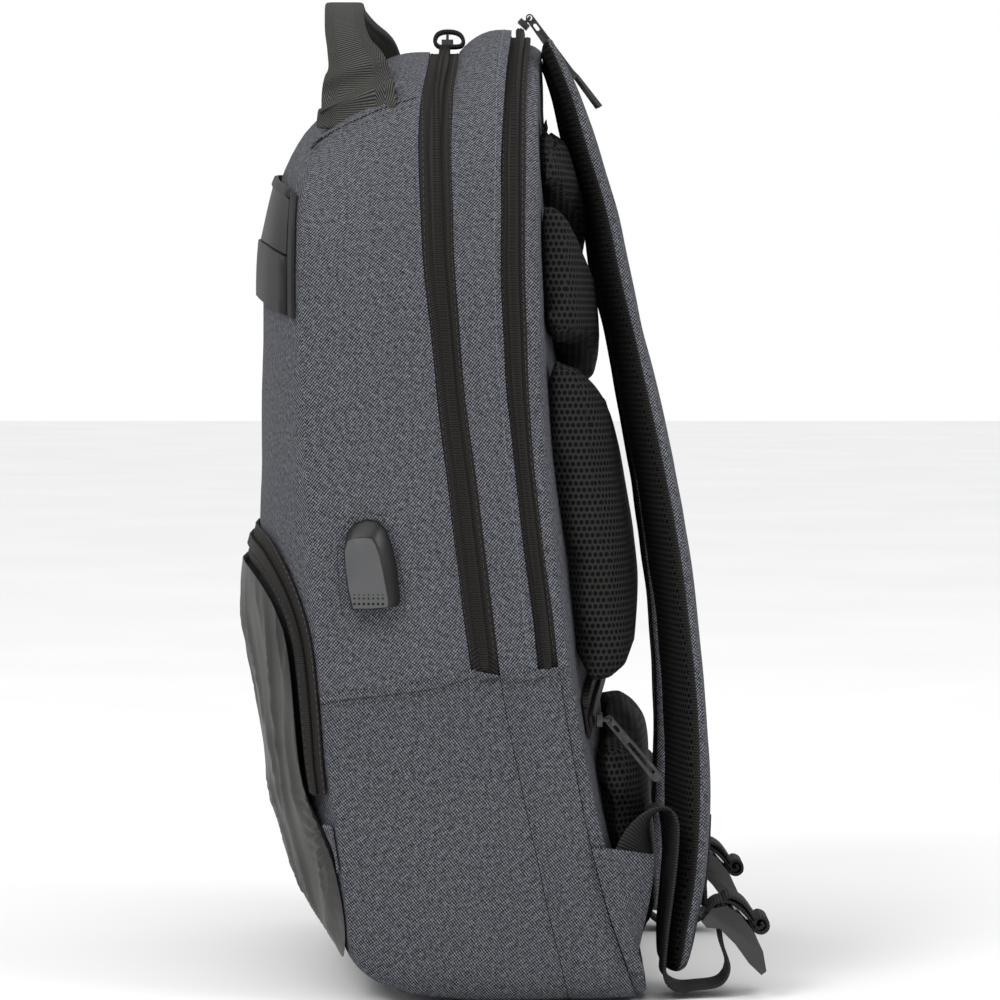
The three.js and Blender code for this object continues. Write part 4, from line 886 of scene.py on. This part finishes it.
def surfaceAt(y, z, side=1):
    # the outermost of three rays, so that a gap between panels is passed over
    best = None
    for shift in (0, 0.0012, -0.0012):
        place, normal, face, far = bodySkin.ray_cast(
            Vector((side * rayStart, y + shift, z)), Vector((-side, 0, 0)))
        if place and (best is None or side * place.x > side * best[0].x + 0.002):
            best = (place, normal)
    return (np.array([best[0].x, y, z]), np.array(best[1])) if best else None


def makeHandle():
    feet = []
    for side in (1, -1):
        corners = [surfaceAt(y / 1000, z / 1000, side)[0] * 1000 for y, z in handleValues["foot"]]
        across = corners[1] - corners[0]
        width = np.linalg.norm(across)
        middle = (corners[0] + corners[1]) / 2
        low = [*(middle + [side * 0.6, 0, -4]), *(across / width), width, 2.6]
        high = [*(middle + [-side * 1.5, 0.4, 9]), *(across / width), width * 0.97, 2.8]
        feet.append([low, high])
    rows = handleValues["near"] + handleValues["top"] + handleValues["far"]
    rows = feet[0] + [[*row[:3], 0, *row[3:]] for row in rows]
    rows = smoothRows(rows + feet[1][::-1], 8)
    sizes = rows[:, 6:] / 1000
    obj = ribbonPiece("carryHandle", rows[:, :3] / 1000, rows[:, 3:6], sizes[:, 0], sizes[:, 1], flatBand)
    applyModifier(obj, "SUBSURF", levels=1)
    points = pointsOf(obj)
    x, y, z = points.T
    middle, reach, height, slope, pitch = handleValues["ridges"]
    near = np.exp(-((z - middle) / reach) ** 2)
    points[:, 0] += np.sign(x) * near * height * np.sin((z - slope * y) * 2 * math.pi / pitch)
    movePoints(obj, points)
    shadeSmooth(obj, 40)
    return finishPiece(obj, handleWeb, ["handle"])


makeHandle()

webbingValues = {
    # x, y, z in millimetres and turn in degrees
    "rows": [
        (126.7, 60.7, 54.8, -50), (125.6, 62, 67.3, -48), (122.3, 65.7, 78.9, -30), (118.3, 71, 87.7, -5),
        (115.9, 76, 89.6, 12), (115.4, 78.9, 84.4, 16), (115.1, 79.5, 71.9, 13), (114.3, 78.7, 53.4, 8),
        (112.3, 76.7, 30.2, 4), (107.9, 76.9, 12.1, 0), (103.6, 83.4, 5.1, 0), (101.5, 92.7, 4.6, 0),
        (100, 103.2, 6.5, 0), (99.3, 107.2, 13.9, 0), (99, 103.9, 25.5, 0), (98.7, 102.9, 38, 0),
        (98.7, 106.5, 46.9, 0), (98.7, 113.8, 44.5, 0), (98.7, 119.4, 37.1, 0),
    ],
    "width": 25,
    "thickness": 1.8,
    # y and z of the rolled end and of the turn over the lock, all at one x
    "lockX": 98.7,
    "tail": [(117.0, 36.6), (119.5, 31.6), (122.8, 30.4), (125.4, 32.4), (125.0, 36.0), (122.0, 37.6),
             (119.6, 36.0), (119.4, 33.4), (121.6, 32.4), (123.4, 34.0), (122.2, 35.4)],
    "wrap": [(97.2, 40.6), (101.2, 44.2), (106.4, 45.0), (111.6, 42.6), (116.4, 37.8), (119.4, 32.6)],
}


def makeWebbing():
    rows = smoothRows(webbingValues["rows"], 6)
    turn = np.radians(rows[:, 3])
    across = np.stack([np.cos(turn), np.sin(turn), np.zeros(len(turn))], axis=1)
    width = webbingValues["width"] / 1000
    thickness = webbingValues["thickness"] / 1000
    obj = ribbonPiece("webbingRight", rows[:, :3] / 1000, across, np.full(len(rows), width),
                      np.full(len(rows), thickness), flatBand)
    extras = []
    for name in ("tail", "wrap"):
        path = smoothRows([(webbingValues["lockX"], y, z) for y, z in webbingValues[name]], 5)
        extras.append(levelBand(name, path / 1000, width, thickness))
    selectOnly(obj)
    for extra in extras:
        extra.select_set(True)
    bpy.ops.object.join()
    shadeSmooth(obj, 40)
    return finishPiece(obj, darkWeb, ["strap_webbing_right"])


webbingRight = makeWebbing()
finishTwin(webbingRight, "webbingLeft", "webbing", "strap_webbing_left")
print("straps made")


# ---- back pads
padValues = {"voxel": 0.005, "frames": 20, "pressure": 4.0, "cap": 0.006, "shrink": 0.0012}


def puff(obj):
    applyModifier(obj, "REMESH", mode="VOXEL", voxel_size=padValues["voxel"])
    start = pointsOf(obj) - normalsOf(obj) * padValues["shrink"]
    movePoints(obj, start)
    cloth = obj.modifiers.new("cloth", "CLOTH")
    cloth.settings.use_pressure = True
    cloth.settings.uniform_pressure_force = padValues["pressure"]
    cloth.settings.effector_weights.gravity = 0
    cloth.settings.quality = 4
    cloth.point_cache.frame_start = 1
    cloth.point_cache.frame_end = padValues["frames"]
    for step in range(1, padValues["frames"] + 1):
        bpy.context.scene.frame_set(step)
    selectOnly(obj)
    bpy.ops.object.modifier_apply(modifier="cloth")
    bpy.context.scene.frame_set(1)
    moved = pointsOf(obj) - start
    length = np.linalg.norm(moved, axis=1)
    share = np.minimum(1, padValues["cap"] / np.maximum(length, 1e-9))
    movePoints(obj, start + moved * share[:, None])
    applyModifier(obj, "SUBSURF", levels=1)


def makePad(nodeName, pieceName):
    obj = copyNode(nodeName, pieceName)
    puff(obj)
    layBox(obj)
    shadeSmooth(obj)
    return finishPiece(obj, knit, [nodeName])


for level in ("upper", "middle", "lower"):
    pad = makePad(level + "_pad_right", level + "PadRight")
    twin = finishTwin(pad, level + "PadLeft", "back_mesh", level + "_pad_left")
lumbarPad = makePad("lumbar_pad", "lumbarPad")
print("pads made")

dressSoft("back_zip_tape", "backTape", zipTape, "zip_tape")
dressSoft("back_zip_coil", "backCoil", zipCoil, "zip_coil")
dressSoft("back_pocket_flap", "backFlap", edgeBinding, "binding")
wingRight = dressSoft("corner_wing_right", "wingRight", lowerTwill, "twill", (45, 0.7), 1)
finishTwin(wingRight, "wingLeft", "twill", "corner_wing_left")


# ---- hardware
def dressHard(nodeName, pieceName, material, bevel, body="bag"):
    obj = copyNode(nodeName, pieceName)
    applyModifier(obj, "BEVEL", width=bevel, segments=3, limit_method="ANGLE", angle_limit=math.radians(35))
    layFabric(obj)
    shadeSmooth(obj, 40)
    return finishPiece(obj, material, [nodeName], body)


portHousing = dressHard("port_housing", "portHousing", portSatin, 0.0008)
for nodeName, pieceName, material, slot, bevel in (
    ("ladder_lock", "lock", buckleGloss, "buckle_plastic", 0.0013),
    ("buckle_strip", "buckleStrip", darkWeb, "webbing", 0.0003),
):
    piece = dressHard(nodeName + "_right", pieceName + "Right", material, bevel)
    finishTwin(piece, pieceName + "Left", slot, nodeName + "_left")
for nodeName, pieceName, bevel, body in (
    ("laptop_slider", "laptopSlider", 0.0004, "bag"),
    ("laptop_pull", "laptopPull", 0.0003, "laptop_pull"),
    ("back_slider", "backSlider", 0.0004, "bag"),
    ("back_pull", "backPull", 0.0003, "back_pull"),
    ("main_slider", "mainSlider", 0.0004, "bag"),
):
    dressHard(nodeName, pieceName, gunmetal, bevel, body)
loopValues = {
    # x, then y and z in millimetres, round the slider's bridge
    "x": 19.1,
    "rows": [(-25.0, 450.2), (-29.6, 450.3), (-31.6, 452.6), (-30.6, 455.8), (-27.6, 457.3), (-22.6, 457.3),
             (-19.2, 455.8), (-17.8, 452.8), (-19.4, 450.5), (-24.8, 450.2)],
    "width": 0.012,
    "thickness": 0.0018,
}


def makeLoop():
    path = smoothRows([(loopValues["x"], y, z) for y, z in loopValues["rows"]], 5)
    obj = levelBand("pullLoop", path / 1000, loopValues["width"], loopValues["thickness"])
    shadeSmooth(obj, 50)
    finishPiece(obj, darkWeb, ["main_pull_loop"])


makeLoop()
dressHard("top_tab", "topTab", darkWeb, 0.0003)
dressHard("pocket_slider", "pocketSlider", gunmetal, 0.0004)
print("hardware made")


# ---- rows of stitches and teeth
def makeDash(size, bevel=0.3):
    bpy.ops.object.select_all(action="DESELECT")
    bpy.ops.mesh.primitive_cube_add(size=1, location=(0, 0, 0))
    dash = bpy.context.object
    bpy.ops.object.mode_set(mode="EDIT")
    bpy.ops.mesh.select_all(action="SELECT")
    bpy.ops.mesh.bevel(offset=bevel, segments=1, affect="EDGES")
    bpy.ops.transform.resize(value=size)
    bpy.ops.object.mode_set(mode="OBJECT")
    points = pointsOf(dash)
    faces = [list(polygon.vertices) for polygon in dash.data.polygons]
    bpy.data.objects.remove(dash)
    return points, faces


def rowPiece(name, dash, places, alongs, normals, material):
    points, faces = dash
    vertices = []
    allFaces = []
    for place, along, normal in zip(places, alongs, normals):
        along = along / np.linalg.norm(along)
        normal = normal - along * np.dot(normal, along)
        normal /= np.linalg.norm(normal)
        turn = np.stack([along, np.cross(normal, along), normal], axis=0)
        first = len(vertices)
        vertices += [tuple(v) for v in points @ turn + place]
        allFaces += [[first + v for v in face] for face in faces]
    mesh = bpy.data.meshes.new(name)
    mesh.from_pydata(vertices, [], allFaces)
    obj = bpy.data.objects.new(name, mesh)
    bpy.context.collection.objects.link(obj)
    return finishPiece(obj, material)


def spaced(places, step):
    # places at even steps along a line of points, with the way that it runs
    places = np.array(places)
    length = np.concatenate([[0], np.cumsum(np.linalg.norm(np.diff(places, axis=0), axis=1))])
    wanted = np.arange(step / 2, length[-1], step)
    found = np.stack([np.interp(wanted, length, places[:, i]) for i in range(3)], axis=1)
    return found, np.gradient(found, axis=0)


rayReach = 0.22


def walkRound(skin, depthAt, foot, step=0.004):
    # over the bag from its right side to its left, on the surface
    rays = []
    heights = np.arange(foot, shoulder["foot"], step)
    for side, levels in ((1, heights), (0, ()), (-1, heights[::-1])):
        if side == 0:
            for angle in np.arange(0, math.pi, step / shoulder["radius"]):
                way = Vector((math.cos(angle), 0, math.sin(angle)))
                level = shoulder["foot"] + shoulder["rise"] * math.sin(angle)
                rays.append((Vector((middleX, depthAt(level), shoulder["foot"])) + way * rayStart, -way))
        for z in levels:
            rays.append((Vector((side * rayStart, depthAt(z), z)), Vector((-side, 0, 0))))
    places = []
    normals = []
    for start, way in rays:
        place, normal, face, far = skin.ray_cast(start, way)
        if place and (start - place).length < rayReach:
            places.append(np.array(place))
            normals.append(np.array(normal))
    return np.array(places), np.array(normals)


def rowRound(name, skin, depthAt, foot, dash, step, lift, material):
    places, normals = walkRound(skin, depthAt, foot)
    spots, alongs = spaced(places, step)
    nearest = [int(np.argmin(np.sum((places - spot) ** 2, axis=1))) for spot in spots]
    facing = normals[nearest]
    return rowPiece(name, dash, spots + facing * lift, alongs, facing, material)


stitchValues = {"length": 0.0023, "width": 0.0006, "height": 0.0005, "step": 0.0036}
stitch = makeDash((stitchValues["length"], stitchValues["width"], stitchValues["height"]))
tooth = makeDash((0.0009, 0.0011, 0.0007))
toothStep = 0.0017
zipFoot = 0.160


def between(front, rear, share):
    return lambda z: lineAt(front, z) * (1 - share) + lineAt(rear, z) * share


for zipName, tape, coil in (("mainZip", mainTape, mainCoil), ("laptopZip", laptopTape, laptopCoil)):
    zipSkin = surfaceOf(tape, coil)
    for label, share, dash, step, lift, material, slot in (
        ("TeethA", 0.43, tooth, toothStep, 0.0002, zipCoil, "zip_coil"),
        ("TeethB", 0.57, tooth, toothStep, 0.0002, zipCoil, "zip_coil"),
        ("EdgeC", 0.08, stitch, stitchValues["step"], 0.0001, darkThread, "zip_tape"),
        ("EdgeD", 0.92, stitch, stitchValues["step"], 0.0001, darkThread, "zip_tape"),
    ):
        line = between(zipName + "Front", zipName + "Rear", share)
        rowRound(zipName + label, zipSkin, line, zipFoot, dash, step, lift, material)
rowRound("gussetStitches", bodySkin, lambda z: lineAt("laptopZipFront", z) - 0.0028, zipFoot, stitch,
         stitchValues["step"], 0.0, greyThread)
print("teeth and stitches made")


def makePocketTeeth():
    fine = pocketRows()
    skin = surfaceOf(pocketTape, pocketCoil)
    stitchStep = stitchValues["step"]
    for label, share, dash, step in (("A", 0.41, tooth, toothStep), ("B", 0.55, tooth, toothStep),
                                     ("C", 0.06, stitch, stitchStep), ("D", 0.84, stitch, stitchStep)):
        right = fine[:, 0] * (1 - share) + fine[:, 1] * share
        left = right[-2::-1] * [-1, 1, 1] + [2 * middleX, 0, 0]
        spots, alongs = spaced(np.concatenate([right, left]), step)
        places = []
        outward = []
        for spot in spots:
            place, normal, face, far = skin.find_nearest(Vector(spot))
            outside = normal.y < 0 or normal.x * (place.x - middleX) > 0
            places.append(np.array(place))
            outward.append(np.array(normal) * (1 if outside else -1))
        rowPiece("pocketZip" + label, dash, places, alongs, outward,
                 zipCoil if dash is tooth else darkThread)


makePocketTeeth()


creaseShadeStripValues = {
    # dark strips behind the creases, painted shade that also closes the gaps between the panels: from and to, step,
    # shift forward, in and back, width and thickness
    "heights": (0.022, 0.158, 0.006),
    "ahead": 0.004,
    "shift": (-0.0052, 0.004, 0),
    "width": 0.009,
    "thickness": 0.001,
}


def makeCreaseShadeStrips():
    for name in creaseLines:
        places = []
        for z in np.arange(*creaseShadeStripValues["heights"]):
            place, normal = surfaceAt(float(lineAt(name, z)) - creaseShadeStripValues["ahead"], z)
            places.append(place + creaseShadeStripValues["shift"])
        obj = levelBand(name + "ShadeStrip", np.array(places), creaseShadeStripValues["width"], creaseShadeStripValues["thickness"],
                        (0, 1.0, 0))
        # the dark binding finish stands in for the shade inside the crease: painted shade
        finishPiece(obj, edgeBinding)
        finishTwin(obj, name + "ShadeStripLeft", "binding")


makeCreaseShadeStrips()


# ---- folded seams
def seamStrip(name, spots, width, thickness, material, slot="twill"):
    rows = smoothRows(np.array(spots) / 1000, 5)
    found = [hit for hit in (surfaceAt(y, z) for y, z in rows) if hit]
    places = np.array([place + normal * thickness * 0.25 for place, normal in found])
    alongs = np.gradient(places, axis=0)
    across = np.array([np.cross(normal, along) for (place, normal), along in zip(found, alongs)])
    count = len(places)
    obj = ribbonPiece(name, places, across, np.full(count, width), np.full(count, thickness), flatBand)
    applyModifier(obj, "SUBSURF", levels=1)
    layFabric(obj)
    shadeSmooth(obj, 50)
    finishPiece(obj, material)
    finishTwin(obj, name + "Left", slot)
    return places, [normal for place, normal in found]


seamValues = {
    # y and z in millimetres
    "side": [(-82.5, 141.5), (-74, 144), (-46, 147.4), (-28.5, 150.2), (-14.5, 154.2), (-1.5, 156.6)],
    "gusset": [(1.2, 152.2), (9, 152.8), (18, 154.8), (27.5, 156.2)],
    "top": [(-89, 397.5), (-84, 402.5), (-66, 411.5), (-49, 418.6), (-39.5, 421.5)],
}
# width and finish of each strip, then how far the stitches sit below it
seamWidths = {"side": (0.0036, lowerTwill), "gusset": (0.0036, lowerTwill), "top": (0.0026, upperTwill)}
seamThickness = 0.0012
stitchDrop = np.array([0, 0, -0.0042])
for name, spots in seamValues.items():
    wide, finish = seamWidths[name]
    places, facing = seamStrip(name + "Seam", spots, wide, seamThickness, finish)
    below, alongs = spaced([place + stitchDrop for place in places], stitchValues["step"])
    found = [(surfaceAt(y, z), along) for (x, y, z), along in zip(below, alongs)]
    found = [(hit, along) for hit, along in found if hit]
    rowPiece(name + "SeamStitches", stitch, [hit[0] for hit, along in found], [along for hit, along in found],
             [hit[1] for hit, along in found], darkThread)
print("seams made")


# ---- port: dots, painted shade on the sides as a darker copy of the satin, and the stitches round it
portValues = {
    # height in millimetres and radius in metres of each row of dots
    "rows": [(191.6, 0.00030), (189.9, 0.00045), (187.4, 0.00060)],
    "deep": 0.0003,
    "faceLimit": 0.93,
    "stitchStep": 0.0031,
    "columns": np.linspace(-66.6, -53.6, 7),
    "ring": [(-72.6, 181), (-73.6, 190), (-74.6, 203), (-74.4, 214), (-71.0, 223), (-65.5, 228.2), (-59.5, 229),
             (-53, 225.5), (-49, 217), (-46, 205), (-43.8, 192), (-43.5, 183)],
}


def finishPort():
    # painted shade: a much darker copy of the satin for every face of the housing not turned to the camera
    paintedShadeSides = glossFinish("portPaintedShade", (0.006, 0.006, 0.0065), (0.010, 0.010, 0.011), 0.35, 0.35, 0.05)
    portHousing.data.materials.append(paintedShadeSides)
    for polygon in portHousing.data.polygons:
        polygon.material_index = 0 if polygon.normal.x > portValues["faceLimit"] else 1
    portSkin = surfaceOf(portHousing)
    pit = glossFinish("portPit", (0.001, 0.001, 0.001), (0.002, 0.002, 0.002), 0.6, 0.2, 0.0)
    bpy.ops.object.select_all(action="DESELECT")
    bpy.ops.mesh.primitive_cylinder_add(vertices=12, radius=1, depth=1, location=(0, 0, 0))
    dot = bpy.context.object
    bpy.ops.object.mode_set(mode="EDIT")
    bpy.ops.mesh.select_all(action="SELECT")
    bpy.ops.mesh.bevel(offset=0.2, segments=1, affect="EDGES")
    bpy.ops.object.mode_set(mode="OBJECT")
    points = pointsOf(dot)
    faces = [list(polygon.vertices) for polygon in dot.data.polygons]
    bpy.data.objects.remove(dot)
    for number, (z, radius) in enumerate(portValues["rows"]):
        shape = (points * [radius, radius, portValues["deep"]], faces)
        found = []
        for y in portValues["columns"]:
            start = Vector((rayStart, y / 1000, z / 1000))
            place, normal, face, far = portSkin.ray_cast(start, Vector((-1, 0, 0)))
            if place:
                found.append((np.array(place), np.array(normal)))
        rowPiece("portDots" + str(number), shape, [f[0] for f in found], [np.array([0, 1.0, 0])] * len(found),
                 [f[1] for f in found], pit)
    ring = smoothRows(np.array(portValues["ring"]) / 1000, 6)
    places = [surfaceAt(y, z)[0] for y, z in ring]
    spots, alongs = spaced(places, portValues["stitchStep"])
    rowPiece("portStitches", stitch, spots, alongs, [np.array([1.0, 0, 0])] * len(spots), darkThread)


finishPort()
print("port finished")


# ---- floor and light
studio = {
    "seen": 1.0,
    "fill": 0.62,
    # name, place, size and power
    "lamps": [
        ("keyLight", (2.2, -1.6, 2.4), 1.4, 42),
        ("rearLight", (1.2, 2.2, 1.6), 1.2, 20),
    ],
    "sun": {"place": (0.7, -0.35, 2.0), "strength": 1.5, "spread": 70},
}


def makeStudio():
    bpy.ops.object.select_all(action="DESELECT")
    bpy.ops.mesh.primitive_plane_add(size=24, location=(0, 0, -0.0004))
    floor = bpy.context.object
    floor.name = "floor"
    bpy.ops.object.transform_apply(location=True)
    floor.data.materials.append(floorFinish())
    world = bpy.data.worlds.new("studio")
    world.use_nodes = True
    tree = world.node_tree
    backdrop = tree.nodes["Background"]
    backdrop.inputs[0].default_value = (1.0, 1.0, 1.0, 1)
    seen = addNode(tree, "LightPath").outputs["Is Camera Ray"]
    strength = maths(tree, "MULTIPLY_ADD", seen, studio["seen"] - studio["fill"], studio["fill"])
    tree.links.new(strength, backdrop.inputs[1])
    bpy.context.scene.world = world
    sunData = bpy.data.lights.new("wideSun", "SUN")
    sunData.energy = studio["sun"]["strength"]
    sunData.angle = math.radians(studio["sun"]["spread"])
    sun = bpy.data.objects.new("wideSun", sunData)
    bpy.context.collection.objects.link(sun)
    sun.rotation_euler = (-Vector(studio["sun"]["place"])).to_track_quat("-Z", "Y").to_euler()
    for name, place, size, power in studio["lamps"]:
        lampData = bpy.data.lights.new(name, "AREA")
        lampData.shape = "DISK"
        lampData.size = size
        lampData.energy = power
        lamp = bpy.data.objects.new(name, lampData)
        bpy.context.collection.objects.link(lamp)
        lamp.location = place
        lamp.rotation_euler = (Vector((0, 0, 0.22)) - Vector(place)).to_track_quat("-Z", "Y").to_euler()
    bpy.context.scene.view_settings.view_transform = "Standard"


makeStudio()
print("studio made")
